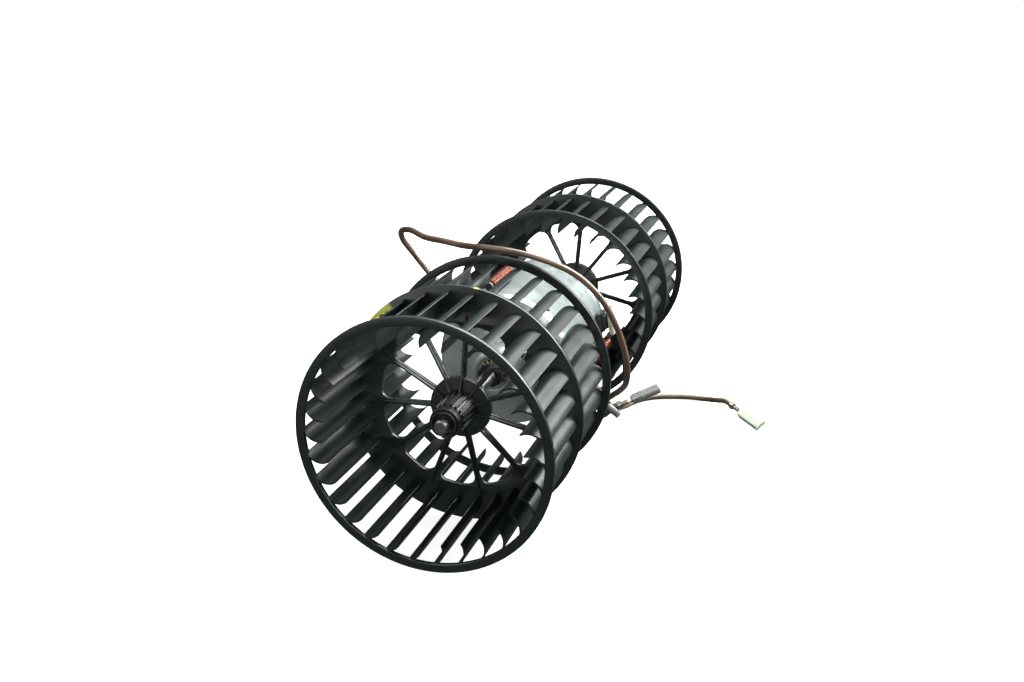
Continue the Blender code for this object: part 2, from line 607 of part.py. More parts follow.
# ---- interference chokes on the can ------------------------------------------------------
CHOKES = (("top", math.radians(101.5), -44.0 * MM), ("side", math.radians(-9.0), -8.0 * MM))
for label, angle, front in CHOKES:
    radius = CAN_RADIUS + SADDLE_THICKNESS + 2 * CLEAR + CHOKE_RADIUS
    rear = front + CHOKE_LENGTH
    centre = around(angle, radius)
    coil = tube("choke_coil_" + label, CHOKE_CORE_RADIUS + CLEAR, CHOKE_RADIUS, front, rear,
                COPPER, 12)
    coil.location = centre
    core = turned("choke_core_" + label, [
        (0.0, rear + 2.0 * MM), (CHOKE_CORE_RADIUS, rear + 2.0 * MM),
        (CHOKE_CORE_RADIUS, front - 2.0 * MM), (0.0, front - 2.0 * MM)], FERRITE, 12)
    core.location = centre
    saddle_middle = around(angle, CAN_RADIUS + CLEAR + SADDLE_THICKNESS / 2, (front + rear) / 2)
    block("choke_saddle_" + label, (SADDLE_THICKNESS, 6.0 * MM, CHOKE_LENGTH - 6.0 * MM),
          saddle_middle, BLACK_PLASTIC, angle)

# ---- terminals, leads and connectors -----------------------------------------------------
TERMINAL_ANGLE = math.radians(9.0)
TERMINAL_HEIGHT = CAN_REAR - 8.0 * MM
terminal_radius = CAN_RADIUS + CLEAR + TERMINAL_SIZE[0] / 2
block("terminal_block", TERMINAL_SIZE, around(TERMINAL_ANGLE, terminal_radius, TERMINAL_HEIGHT),
      BLACK_PLASTIC, TERMINAL_ANGLE)
for label, angle, height in (("left", math.radians(153.0), -16.0 * MM),
                             ("right", math.radians(-34.0), 2.0 * MM)):
    block("lead_gland_" + label, GLAND_SIZE,
          around(angle, CAN_RADIUS + CLEAR + GLAND_SIZE[0] / 2, height), BLACK_PLASTIC, angle)


def world_block(name, size, centre, surface, direction, up=(0.0, 0.0, 1.0)):
    """A box in the world frame, its first side along the direction given."""
    forward = Vector(direction).normalized()
    side = Vector(up).cross(forward).normalized()
    over = forward.cross(side)
    mesh = bpy.data.meshes.new(name)
    shape = bmesh.new()
    bmesh.ops.create_cube(shape, size=1.0)
    for vert in shape.verts:
        x, y, z = vert.co
        vert.co = forward * (x * size[0]) + side * (y * size[1]) + over * (z * size[2])
    shape.to_mesh(mesh)
    shape.free()
    obj = link(bpy.data.objects.new(name, mesh), surface, PARTS, False)
    obj.location = centre
    return obj


# Routes are points on the lead's middle line, in millimetres, in the world frame.
LONG_LEAD = ((-42.5, -16.0, 21.7), (-49.5, -14.5, 25.6), (-60.0, -6.0, 33.0), (-72.0, 0.0, 42.0),
             (-79.0, -3.0, 52.5), (-80.3, -10.5, 60.5), (-77.0, -19.5, 68.5), (-67.5, -27.5, 72.0),
             (-54.0, -36.0, 70.6), (-38.5, -43.5, 71.2), (-22.0, -53.0, 72.3),
             (-7.0, -58.5, 73.6), (8.0, -60.0, 73.4), (22.0, -57.5, 70.6), (33.0, -54.0, 66.5),
             (42.0, -49.5, 61.3), (50.5, -46.0, 54.3), (59.5, -43.5, 44.0), (67.0, -41.5, 30.5),
             (72.2, -37.5, 13.5), (73.6, -32.0, -2.5), (71.5, -25.5, -13.5), (66.0, -16.0, -22.5),
             (58.0, -7.0, -31.5), (49.5, -5.0, -39.5), (44.5, -12.0, -45.5), (48.5, -21.5, -44.5),
             (56.5, -27.0, -37.5), (63.0, -25.8, -31.2), (68.4, -23.0, -28.6))
FLOOR_LEAD = ((39.6, 2.0, -26.8), (45.0, 4.5, -30.6), (48.0, 14.0, -41.0), (48.5, 32.0, -54.0),
              (49.0, 48.0, -63.5), (53.0, 63.0, -67.6), (60.5, 78.0, -68.0), (70.0, 86.5, -68.0),
              (82.0, 91.5, -68.0), (94.0, 94.3, -68.0), (105.5, 92.5, -67.3),
              (114.5, 84.0, -63.5), (121.8, 74.1, -59.4), (127.0, 70.3, -60.5))


def route_points(route):
    return [Vector(place) * MM for place in route]


def lead(name, route):
    points = smooth_path(route_points(route), LEAD_RADIUS * 2 * 2.4)
    return round_tube(name, points, LEAD_RADIUS, BROWN_PVC, 2)


def receptacle(label, route, up=(0.0, 0.0, 1.0)):
    """Crimp and flat female connector on a lead's end, in its own clear sleeve."""
    tip, before = route_points(route)[-1], route_points(route)[-2]
    forward = (tip - before).normalized()
    start = tip + forward * CLEAR
    world_block(label + "_receptacle", CRIMP_SIZE, start + forward * CRIMP_SIZE[0] / 2,
                BRASS, forward, up)
    sleeve_start = start + forward * (CRIMP_SIZE[0] + CLEAR)
    world_block(label + "_receptacle_sleeve", SLEEVE_SIZE,
                sleeve_start + forward * SLEEVE_SIZE[0] / 2, CLEAR_PVC, forward, up)


lead("long_lead", LONG_LEAD)
receptacle("long_lead", LONG_LEAD)
lead("floor_lead", FLOOR_LEAD)
receptacle("floor_lead", FLOOR_LEAD, (0.0, -0.6, 0.8))

side_radius = CAN_RADIUS + TERMINAL_SIZE[0] + SIDE_RECEPTACLE_SIZE[2] / 2 + 3 * CLEAR
side_centre = around(TERMINAL_ANGLE, side_radius, TERMINAL_HEIGHT)
side_lean = Vector((-math.sin(TERMINAL_ANGLE), 0.0, math.cos(TERMINAL_ANGLE)))
side_normal = Vector((math.cos(TERMINAL_ANGLE), 0.0, math.sin(TERMINAL_ANGLE)))
world_block("side_receptacle", SIDE_RECEPTACLE_SIZE, BENCH.rotation_euler.to_matrix() @ side_centre,
            BEIGE_PLASTIC, side_lean, side_normal)
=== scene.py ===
# %% [markdown]
# # Twin-wheel heater blower
# A heater blower has one motor in the middle and a squirrel-cage wheel on each end of its
# shaft.  Each wheel draws air in at both of its open ends and throws it out between its blades.
# This lesson dresses the plain solids of that blower: every visible piece is built again with
# rounded edges and real sections, and every surface gets a material made of nodes.
# The plain solids stay where they are, so all places here are read from them.

# %% Load the fixed frame
import math

import bmesh
import bpy
from mathutils import Matrix, Vector


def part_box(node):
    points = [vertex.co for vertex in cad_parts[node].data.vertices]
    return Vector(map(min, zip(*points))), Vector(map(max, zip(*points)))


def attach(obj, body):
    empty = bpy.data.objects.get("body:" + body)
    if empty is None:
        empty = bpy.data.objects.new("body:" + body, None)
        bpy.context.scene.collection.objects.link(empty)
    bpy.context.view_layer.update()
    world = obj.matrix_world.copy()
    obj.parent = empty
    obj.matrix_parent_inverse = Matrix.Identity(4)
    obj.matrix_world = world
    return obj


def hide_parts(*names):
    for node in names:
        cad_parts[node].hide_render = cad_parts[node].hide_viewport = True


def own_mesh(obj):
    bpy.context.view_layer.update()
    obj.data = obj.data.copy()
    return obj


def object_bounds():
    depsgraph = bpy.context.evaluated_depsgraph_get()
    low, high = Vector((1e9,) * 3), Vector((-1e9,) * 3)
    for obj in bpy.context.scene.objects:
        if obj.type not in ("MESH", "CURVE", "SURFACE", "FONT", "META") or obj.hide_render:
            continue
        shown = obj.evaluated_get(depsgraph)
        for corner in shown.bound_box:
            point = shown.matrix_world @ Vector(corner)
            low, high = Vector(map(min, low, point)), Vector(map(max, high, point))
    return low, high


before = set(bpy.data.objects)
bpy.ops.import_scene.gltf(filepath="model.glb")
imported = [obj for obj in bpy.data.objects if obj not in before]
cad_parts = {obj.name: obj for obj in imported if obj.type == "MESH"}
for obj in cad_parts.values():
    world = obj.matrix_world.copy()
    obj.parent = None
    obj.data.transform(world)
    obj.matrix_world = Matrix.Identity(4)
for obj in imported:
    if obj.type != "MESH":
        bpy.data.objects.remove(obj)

MM = 0.001
CAD_BOX = [list(corner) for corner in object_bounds()]
LOOKS = bpy.data.collections.new("blower_looks")
bpy.context.scene.collection.children.link(LOOKS)

# %% [markdown]
# ## The camera
# The blower lies on a table and is seen from above its front wheel, a little from the right.
# A lens just wider than normal at arm's length gives the strong taper from the near wheel to
# the far one.  Setting it first means that everything else is judged through it.

# %% Camera
CAMERA_PLACE = Vector((0.19648, -0.61700, 0.23461))
CAMERA_AIM = Vector((-0.29807, 0.89016, -0.34463))

lens = bpy.data.cameras.new("camera")
lens.lens = 37.45
lens.sensor_width = 36.0
lens.clip_start = 0.01
camera = bpy.data.objects.new("camera", lens)
camera.location = CAMERA_PLACE
camera.rotation_euler = CAMERA_AIM.to_track_quat("-Z", "Y").to_euler()
bpy.context.scene.collection.objects.link(camera)
bpy.context.scene.camera = camera
print("camera:", tuple(round(v, 3) for v in CAMERA_PLACE))

# %% [markdown]
# ## Small tools for materials
# A material is a tree of nodes.  Three short helpers keep each recipe readable: one starts a
# tree, one adds a node with its values, and one makes a soft noise that can steer anything.
# All patterns are laid out in object coordinates, so they stay on the piece when it turns.

# %% Material tools
class Recipe:
    """A node material under construction, with its shader and its object coordinates."""

    def __init__(self, name, colour, roughness, metallic=0.0):
        self.material = bpy.data.materials.new(name)
        self.material.use_nodes = True
        self.tree = self.material.node_tree
        self.shader = self.tree.nodes["Principled BSDF"]
        self.set(self.shader, {"Base Color": (*colour, 1.0), "Roughness": roughness,
                               "Metallic": metallic})
        self.place = self.add("ShaderNodeTexCoord").outputs["Object"]

    def set(self, node, values):
        for socket, value in values.items():
            node.inputs[socket].default_value = value

    def add(self, kind, values=None, links=None, **settings):
        node = self.tree.nodes.new(kind)
        for key, value in settings.items():
            setattr(node, key, value)
        self.set(node, values or {})
        for socket, source in (links or {}).items():
            self.tree.links.new(source, node.inputs[socket])
        return node

    def noise(self, scale, detail=3.0, stretch=(1.0, 1.0, 1.0)):
        moved = self.add("ShaderNodeMapping", {"Scale": stretch}, {"Vector": self.place})
        return self.add("ShaderNodeTexNoise", {"Scale": scale, "Detail": detail},
                        {"Vector": moved.outputs["Vector"]}).outputs["Fac"]

    def between(self, factor, low, high, start=0.3, end=0.7):
        """Numbers from low to high as the factor goes from start to end."""
        return self.add("ShaderNodeMapRange", {"From Min": start, "From Max": end,
                                               "To Min": low, "To Max": high},
                        {"Value": factor}).outputs["Result"]

    def blend(self, factor, first, second):
        """A colour between two others; either may be a colour or a socket."""
        node = self.add("ShaderNodeMix", links={"Factor": factor}, data_type="RGBA")
        for socket, value in ((node.inputs[6], first), (node.inputs[7], second)):
            if isinstance(value, tuple):
                socket.default_value = (*value, 1.0)
            else:
                self.tree.links.new(value, socket)
        return node.outputs[2]

    def feed(self, socket, source):
        self.tree.links.new(source, self.shader.inputs[socket])

    def bump(self, height, distance, strength=0.5, under=None):
        """A fine relief, in metres, on top of another one where one is given."""
        links = {"Height": height}
        if under is not None:
            links["Normal"] = under
        return self.add("ShaderNodeBump", {"Strength": strength, "Distance": distance},
                        links).outputs["Normal"]


print("material tools ready")

# %% [markdown]
# ## Moulded black plastic
# The wheels are glass-filled nylon: black with a faint grey-green cast, satin and never quite
# even, because the glass lies close under the skin.  A slow noise moves the roughness, a fine
# one gives the skin its grain, and dabs of yellow paint mark where the wheel was balanced.

# %% Plastics
PAINT_YELLOW = (0.60, 0.60, 0.07)


def moulded_black(name, colour=(0.0030, 0.0066, 0.0058), roughness=(0.32, 0.39), dabs=()):
    """Satin black plastic, with dabs of paint as (centre, radius) pairs in metres."""
    recipe = Recipe(name, colour, roughness[0])
    cloud = recipe.noise(46.0, 5.0)
    lighter = tuple(channel * 1.7 for channel in colour)
    tint = recipe.blend(recipe.between(cloud, 0.0, 1.0), colour, lighter)
    for centre, radius in dabs:
        reach = recipe.add("ShaderNodeVectorMath", {1: centre}, {0: recipe.place},
                           operation="DISTANCE").outputs["Value"]
        ragged = recipe.add("ShaderNodeMath", {1: radius * 0.9}, {0: recipe.noise(150.0, 4.0)},
                            operation="MULTIPLY").outputs[0]
        edge = recipe.add("ShaderNodeMath", links={0: reach, 1: ragged},
                          operation="ADD").outputs[0]
        cover = recipe.between(edge, 0.85, 0.0, radius * 1.25, radius * 1.5)
        tint = recipe.blend(cover, tint, PAINT_YELLOW)
    recipe.feed("Base Color", tint)
    recipe.feed("Roughness", recipe.between(recipe.noise(90.0, 4.0), *roughness))
    recipe.set(recipe.shader, {"Specular IOR Level": 0.85})
    skin = recipe.bump(recipe.noise(1500.0, 2.0), 0.00003, 0.2)
    recipe.feed("Normal", recipe.bump(recipe.noise(40.0, 2.0), 0.0004, 0.12, skin))
    return recipe.material


def clear_sleeve(name, colour, roughness=0.16):
    """Soft see-through plastic: it lets light through and bends it a little."""
    recipe = Recipe(name, colour, roughness)
    recipe.set(recipe.shader, {"Transmission Weight": 0.3, "IOR": 1.40})
    haze = recipe.noise(320.0, 4.0)
    recipe.feed("Roughness", recipe.between(haze, roughness * 0.7, roughness * 2.2))
    recipe.feed("Normal", recipe.bump(recipe.noise(260.0, 3.0), 0.0004, 0.4))
    return recipe.material


def cable_sheath(name, colour, streak):
    """Soft vinyl sheath, glossy along its length, dusty in places."""
    recipe = Recipe(name, colour, 0.34)
    recipe.set(recipe.shader, {"Coat Weight": 0.25, "Coat Roughness": 0.22})
    worn = recipe.between(recipe.noise(38.0, 6.0), 0.0, 0.8, 0.42, 0.62)
    recipe.feed("Base Color", recipe.blend(worn, colour, streak))
    recipe.feed("Roughness", recipe.between(recipe.noise(120.0, 3.0), 0.26, 0.46))
    recipe.feed("Normal", recipe.bump(recipe.noise(500.0, 3.0), 0.00012, 0.4))
    return recipe.material


# Places of the balancing paint, on the rims and blades of the front wheel.
DABS = (((-0.0460, -0.1187, 0.0514), 0.0070), ((-0.0560, -0.1200, 0.0415), 0.0085),
        ((-0.0410, -0.1300, 0.0545), 0.0060), ((-0.0520, -0.1320, 0.0440), 0.0060),
        ((0.0095, -0.1175, 0.0698), 0.0021))
WHEEL_BLACK = moulded_black("wheel_black_nylon")
PAINTED_BLACK = moulded_black("wheel_black_nylon_with_paint", dabs=DABS)
TRIM_BLACK = moulded_black("trim_black_plastic", (0.010, 0.011, 0.011), (0.34, 0.5))
CLEAR_VINYL = clear_sleeve("clear_green_vinyl", (0.50, 0.57, 0.45))
SMOKY_VINYL = clear_sleeve("clear_smoky_vinyl", (0.22, 0.23, 0.215))
BEIGE_NYLON = clear_sleeve("beige_nylon", (0.66, 0.60, 0.47), 0.3)
BROWN_SHEATH = cable_sheath("brown_cable_sheath", (0.070, 0.034, 0.020), (0.15, 0.095, 0.062))
OLIVE_SHEATH = cable_sheath("olive_cable_sheath", (0.080, 0.056, 0.030), (0.16, 0.12, 0.075))
PLASTICS = (WHEEL_BLACK, PAINTED_BLACK, TRIM_BLACK, CLEAR_VINYL, SMOKY_VINYL, BEIGE_NYLON,
            BROWN_SHEATH, OLIVE_SHEATH)
print("plastics:", [m.name for m in PLASTICS])

# %% [markdown]
# ## Metals
# The can is drawn from bright zinc-plated sheet, which has a soft cloudy shine; its flat front is
# given a painted highlight that makes it much lighter than its wall.  The shaft is ground, the
# washers are sprung brass, and the choke's wire is enamelled copper, whose lacquer turns it
# orange-red.  The bare metals are one recipe with other numbers: a metal colour, a roughness that
# wanders, and a relief stretched along the tool marks.

# %% Metals
def worked_metal(name, colour, shade, roughness, stretch=(1.0, 1.0, 1.0), marks=0.00003,
                 scale=420.0):
    """Bare metal whose colour and roughness wander, with a fine relief along the tool marks."""
    recipe = Recipe(name, colour, roughness[0], 1.0)
    cloud = recipe.between(recipe.noise(55.0, 4.0), 0.0, 1.0, 0.25, 0.75)
    recipe.feed("Base Color", recipe.blend(cloud, colour, shade))
    recipe.feed("Roughness", recipe.between(recipe.noise(140.0, 4.0), *roughness))
    recipe.feed("Normal", recipe.bump(recipe.noise(scale, 3.0, stretch), marks, 0.5))
    return recipe.material


# Painted highlight on the can: its flat front and boss get a near-white base colour, which fades
# out between these two places along the shaft.
PAINTED_HIGHLIGHT_UNTIL = -47.5 * MM       # along the shaft: the can's flat front and its boss
PAINTED_HIGHLIGHT_GONE_BY = -45.5 * MM


def zinc_plate(name):
    """Zinc plate with a painted highlight on the flat front and the boss; the wall is darker and
    greyer.
    """
    recipe = Recipe(name, (0.40, 0.45, 0.44), 0.32, 0.7)
    along = recipe.add("ShaderNodeSeparateXYZ", links={0: recipe.place}).outputs["Y"]
    # Painted highlight mask: full on the flat front and the boss, none on the wall.
    front = recipe.between(along, 1.0, 0.0, PAINTED_HIGHLIGHT_UNTIL, PAINTED_HIGHLIGHT_GONE_BY)
    cloud = recipe.between(recipe.noise(55.0, 4.0), 0.0, 1.0, 0.25, 0.75)
    wall = recipe.blend(cloud, (0.36, 0.41, 0.40), (0.28, 0.33, 0.32))
    recipe.feed("Base Color", recipe.blend(front, wall, (0.86, 0.95, 0.92)))
    recipe.feed("Roughness", recipe.between(recipe.noise(140.0, 4.0), 0.26, 0.36))
    return recipe.material


def enamelled_copper(name):
    """Copper under an orange-red lacquer, darker and lighter from turn to turn."""
    recipe = Recipe(name, (0.24, 0.035, 0.018), 0.3, 0.6)
    recipe.set(recipe.shader, {"Coat Weight": 0.3, "Coat Roughness": 0.15,
                               "Coat Tint": (1.0, 0.62, 0.42, 1.0)})
    shift = recipe.between(recipe.noise(180.0, 3.0), 0.0, 1.0)
    recipe.feed("Base Color", recipe.blend(shift, (0.10, 0.022, 0.010), (0.17, 0.05, 0.022)))
    recipe.feed("Roughness", recipe.between(recipe.noise(300.0, 2.0), 0.2, 0.38))
    return recipe.material


def dull_mineral(name, colour, shade, roughness):
    """Ferrite, carbon or felt: no shine, all grain."""
    recipe = Recipe(name, colour, roughness)
    recipe.feed("Base Color", recipe.blend(recipe.between(recipe.noise(400.0, 6.0), 0.0, 1.0),
                                           colour, shade))
    recipe.feed("Normal", recipe.bump(recipe.noise(1400.0, 4.0), 0.0001, 0.6))
    return recipe.material


ZINC = zinc_plate("bright_zinc_plate")
STEEL = worked_metal("ground_steel", (0.46, 0.46, 0.45), (0.36, 0.36, 0.35), (0.22, 0.34),
                     (1.0, 22.0, 1.0), 0.00002, 200.0)
DARK_STEEL = worked_metal("blackened_steel", (0.10, 0.10, 0.105), (0.06, 0.06, 0.06),
                          (0.30, 0.5))
BRASS = worked_metal("sprung_brass", (0.74, 0.64, 0.38), (0.52, 0.44, 0.24), (0.26, 0.4))
TINNED = worked_metal("tinned_brass", (0.56, 0.52, 0.42), (0.40, 0.37, 0.29), (0.24, 0.42))
COPPER = enamelled_copper("enamelled_copper_wire")
FERRITE = dull_mineral("sintered_ferrite", (0.045, 0.045, 0.05), (0.08, 0.078, 0.08), 0.6)
CARBON = dull_mineral("pressed_carbon", (0.02, 0.02, 0.02), (0.05, 0.045, 0.04), 0.55)
FELT = dull_mineral("oiled_felt", (0.30, 0.25, 0.17), (0.42, 0.36, 0.26), 0.95)
METALS = (ZINC, STEEL, DARK_STEEL, BRASS, TINNED, COPPER)
MINERALS = (FERRITE, CARBON, FELT)
print("metals and minerals:", [m.name for m in METALS + MINERALS])

# %% [markdown]
# ## Small tools for shapes
# Nearly every piece of a blower is turned, cut from sheet or pulled from wire.  So there are
# three makers: revolve() turns an outline about the shaft line, which runs along Y, prism()
# pushes an outline along a line, and a curve makes wire.  soften() first rounds the outline's
# corners, because a real edge always shows a thin bright line of light.

# %% Shape tools
def around(angle, radius, along=0.0):
    """The point at that angle from +X towards +Z, and that far along the shaft."""
    return Vector((radius * math.cos(angle), along, radius * math.sin(angle)))


def soften(outline, radius, steps=3):
    """Round the corners of a closed outline, as far as its sides allow."""
    rounded = []
    count = len(outline)
    for index, place in enumerate(outline):
        corner = Vector(place)
        before = Vector(outline[index - 1]) - corner
        after = Vector(outline[(index + 1) % count]) - corner
        angle = before.angle(after)
        if corner.x == 0.0 or angle > math.radians(172.0):
            rounded.append(tuple(corner))
            continue
        reach = min(radius / math.tan(angle / 2), before.length * 0.45, after.length * 0.45)
        start = corner + before.normalized() * reach
        end = corner + after.normalized() * reach
        for step in range(steps + 1):
            share = step / steps
            rounded.append(tuple(start.lerp(corner, share).lerp(corner.lerp(end, share), share)))
    return rounded


def skin(shape, rows, closed=False):
    """Join each section to the next one, and where closed the last one to the first."""
    following = rows[1:] + rows[:1] if closed else rows[1:]
    count = len(rows[0])
    for near, far in zip(rows, following):
        for index in range(count):
            after = (index + 1) % count
            shape.faces.new((near[index], near[after], far[after], far[index]))


def revolve(shape, outline, steps=96, axis_at=Vector((0.0, 0.0, 0.0))):
    """Turn a closed outline of (radius, along) points about a line parallel to the shaft."""
    rings = []
    for step in range(steps):
        turn = math.tau * step / steps
        rings.append([shape.verts.new(axis_at + around(turn, radius, along))
                      for radius, along in outline])
    skin(shape, rings, closed=True)


def prism(shape, outline, start, end, side, over, end_scale=1.0):
    """Push a flat outline of (side, over) points from start to end, and close its ends."""
    rows = []
    for place, scale in ((start, 1.0), (end, end_scale)):
        rows.append([shape.verts.new(place + side * (x * scale) + over * (y * scale))
                     for x, y in outline])
    loft(shape, rows)


def loft(shape, rows):
    """Skin a run of equal closed sections, and close its two ends."""
    skin(shape, rows)
    shape.faces.new(rows[0][::-1])
    shape.faces.new(rows[-1])


def circle_row(shape, centre, side, over, radius, steps):
    """A ring of points round the centre, in the plane of side and over."""
    return [shape.verts.new(centre + (side * math.cos(t) + over * math.sin(t)) * radius)
            for t in (math.tau * step / steps for step in range(steps))]


def rounded_box(width, height, radius, steps=3):
    """A rectangle's outline about its middle, with round corners."""
    x, y = width / 2, height / 2
    return soften([(-x, -y), (x, -y), (x, y), (-x, y)], radius, steps)


def into_shape(shape, mesh):
    """Take a mesh into the shape and throw the mesh away."""
    shape.from_mesh(mesh)
    bpy.data.meshes.remove(mesh)


def finish_piece(name, shape, material, body, replaced=(), crease=32.0):
    """Make the piece's object, put it on its body and say which plain solid it stands for."""
    bmesh.ops.remove_doubles(shape, verts=shape.verts, dist=0.000002)
    bmesh.ops.recalc_face_normals(shape, faces=shape.faces)
    mesh = bpy.data.meshes.new(name)
    shape.to_mesh(mesh)
    shape.free()
    mesh.shade_smooth()
    mesh.set_sharp_from_angle(angle=math.radians(crease))
    mesh.materials.append(material)
    piece = bpy.data.objects.new(name, mesh)
    LOOKS.objects.link(piece)
    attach(piece, body)
    if replaced:
        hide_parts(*replaced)
    print(name, "faces:", len(mesh.polygons))
    return piece


print("shape tools ready")

# %% [markdown]
# ## The two leads
# Both leads are thin automotive wire, one in brown sheath and one in olive, 3.8 mm over the sheath
# and stiff enough to keep a bend.  The long one leaves the motor on the left, climbs over the front
# wheel's inner rim, runs down the right side and curls back to its connector.  The other drops to
# the table and ends there.  The routes are the frame's own, in millimetres; a centripetal spline
# through them cannot overshoot, and even spacing keeps the tube's rings square to its line.

# %% Lead routes
LEAD_RADIUS = 1.9 * MM
LONG_LEAD = ((-42.5, -16.0, 21.7), (-49.5, -14.5, 25.6), (-60.0, -6.0, 33.0), (-72.0, 0.0, 42.0),
             (-79.0, -3.0, 52.5), (-80.3, -10.5, 60.5), (-77.0, -19.5, 68.5), (-67.5, -27.5, 72.0),
             (-54.0, -36.0, 70.6), (-38.5, -43.5, 71.2), (-22.0, -53.0, 72.3),
             (-7.0, -58.5, 73.6), (8.0, -60.0, 73.4), (22.0, -57.5, 70.6), (33.0, -54.0, 66.5),
             (42.0, -49.5, 61.3), (50.5, -46.0, 54.3), (59.5, -43.5, 44.0), (67.0, -41.5, 30.5),
             (72.2, -37.5, 13.5), (73.6, -32.0, -2.5), (71.5, -25.5, -13.5), (66.0, -16.0, -22.5),
             (58.0, -7.0, -31.5), (49.5, -5.0, -39.5), (44.5, -12.0, -45.5), (48.5, -21.5, -44.5),
             (56.5, -27.0, -37.5), (63.0, -25.8, -31.2), (68.4, -23.0, -28.6))
FLOOR_LEAD = ((39.6, 2.0, -26.8), (45.0, 4.5, -30.6), (48.0, 14.0, -41.0), (48.5, 32.0, -54.0),
              (49.0, 48.0, -63.5), (53.0, 63.0, -67.6), (60.5, 78.0, -68.0), (70.0, 86.5, -68.0),
              (82.0, 91.5, -68.0), (94.0, 94.3, -68.0), (105.5, 92.5, -67.3),
              (114.5, 84.0, -63.5), (121.8, 74.1, -59.4), (127.0, 70.3, -60.5))


def in_metres(route):
    return [Vector(place) * MM for place in route]


def smooth_path(route, spacing):
    """Evenly spaced points along a centripetal spline through the route."""
    ends = [route[0] + (route[0] - route[1]), *route, route[-1] + (route[-1] - route[-2])]
    dense = []
    for a, b, c, d in zip(ends, ends[1:], ends[2:], ends[3:]):
        knots = [0.0]
        for first, second in ((a, b), (b, c), (c, d)):
            knots.append(knots[-1] + math.sqrt((second - first).length))
        for step in range(24):
            t = knots[1] + (knots[2] - knots[1]) * step / 24
            ab = a.lerp(b, (t - knots[0]) / (knots[1] - knots[0]))
            bc = b.lerp(c, (t - knots[1]) / (knots[2] - knots[1]))
            cd = c.lerp(d, (t - knots[2]) / (knots[3] - knots[2]))
            abc = ab.lerp(bc, (t - knots[0]) / (knots[2] - knots[0]))
            bcd = bc.lerp(cd, (t - knots[1]) / (knots[3] - knots[1]))
            dense.append(abc.lerp(bcd, (t - knots[1]) / (knots[2] - knots[1])))
    dense.append(route[-1])
    return respaced(dense, spacing)


def path_length(points):
    return sum((q - p).length for p, q in zip(points, points[1:]))


def respaced(dense, spacing):
    """The same line with its points an even distance apart."""
    length = path_length(dense)
    count = max(2, round(length / spacing))
    points = [dense[0]]
    travelled = 0.0
    for p, q in zip(dense, dense[1:]):
        piece = (q - p).length
        while len(points) < count and travelled + piece >= length * len(points) / count:
            points.append(p.lerp(q, (length * len(points) / count - travelled) / piece))
        travelled += piece
    points.append(dense[-1])
    return points


print("routes:", len(LONG_LEAD), "and", len(FLOOR_LEAD), "points")

# %% [markdown]
# A wire is a curve with a round bevel.  The same maker serves the leads and, later, the copper
# turns of the chokes.

# %% Wire maker and the leads
def wire(name, points, radius, material, body, sides=4, replaced=()):
    """A round wire along the points, with closed ends."""
    curve = bpy.data.curves.new(name, "CURVE")
    curve.dimensions = "3D"
    curve.bevel_depth = radius
    curve.bevel_resolution = sides
    curve.use_fill_caps = True
    spline = curve.splines.new("POLY")
    spline.points.add(len(points) - 1)
    for point, place in zip(spline.points, points):
        point.co = (*place, 1.0)
    spline.use_smooth = True
    curve.materials.append(material)
    piece = bpy.data.objects.new(name, curve)
    LOOKS.objects.link(piece)
    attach(piece, body)
    if replaced:
        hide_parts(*replaced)
    return piece


LEAD_SPACING = 1.8 * MM
long_path = smooth_path(in_metres(LONG_LEAD), LEAD_SPACING)
floor_path = smooth_path(in_metres(FLOOR_LEAD), LEAD_SPACING)
long_lead = wire("long_brown_lead", long_path, LEAD_RADIUS, BROWN_SHEATH, "motor",
                 5, ["long_lead"])
floor_lead = wire("floor_olive_lead", floor_path, LEAD_RADIUS, OLIVE_SHEATH, "motor",
                  5, ["floor_lead"])
print("leads:", round(path_length(long_path), 3), "and", round(path_length(floor_path), 3), "m")

# %% [markdown]
# ## Connectors
# Each lead ends in a flat female connector.  It is one strip of tinned brass: wings folded over
# the wire, a short neck, and a flat body whose two sides are rolled over to grip a blade.  A
# soft clear sleeve slips over the body.  The rolled sides are what one sees, so the body's
# section is drawn as a strip that curls over at both ends, and pushed along the lead's line.

# %% Connector shapes
CRIMP_LENGTH = 6.5 * MM
SLEEVE_LENGTH = 18.5 * MM
SLEEVE_WIDTH = 8.6 * MM
SLEEVE_HEIGHT = 3.6 * MM
SEAT_GAP = 0.3 * MM
STRIP = 0.4 * MM            # thickness of the brass


def rolled_section(width, height):
    """A flat strip whose sides curl up and over, as a closed outline."""
    curl = height / 2
    flat = width / 2 - curl
    middle_line = [(x * flat / 4, -curl) for x in range(5)]
    for step in range(1, 9):
        turn = -math.pi / 2 + math.radians(250.0) * step / 8
        middle_line.append((flat + curl * math.cos(turn), curl * math.sin(turn)))
    right = [Vector(p) for p in middle_line]
    line = [Vector((-p.x, p.y)) for p in reversed(right[1:])] + right
    inner, outer = [], []
    for index, place in enumerate(line):
        ahead = line[min(index + 1, len(line) - 1)] - line[max(index - 1, 0)]
        normal = Vector((-ahead.y, ahead.x)).normalized() * (STRIP / 2)
        inner.append(tuple(place + normal))
        outer.append(tuple(place - normal))
    return outer + inner[::-1]


def frame_along(forward, up):
    """The two ways across a line: to its side, and over it towards up."""
    side = up.cross(forward).normalized()
    return side, forward.cross(side)


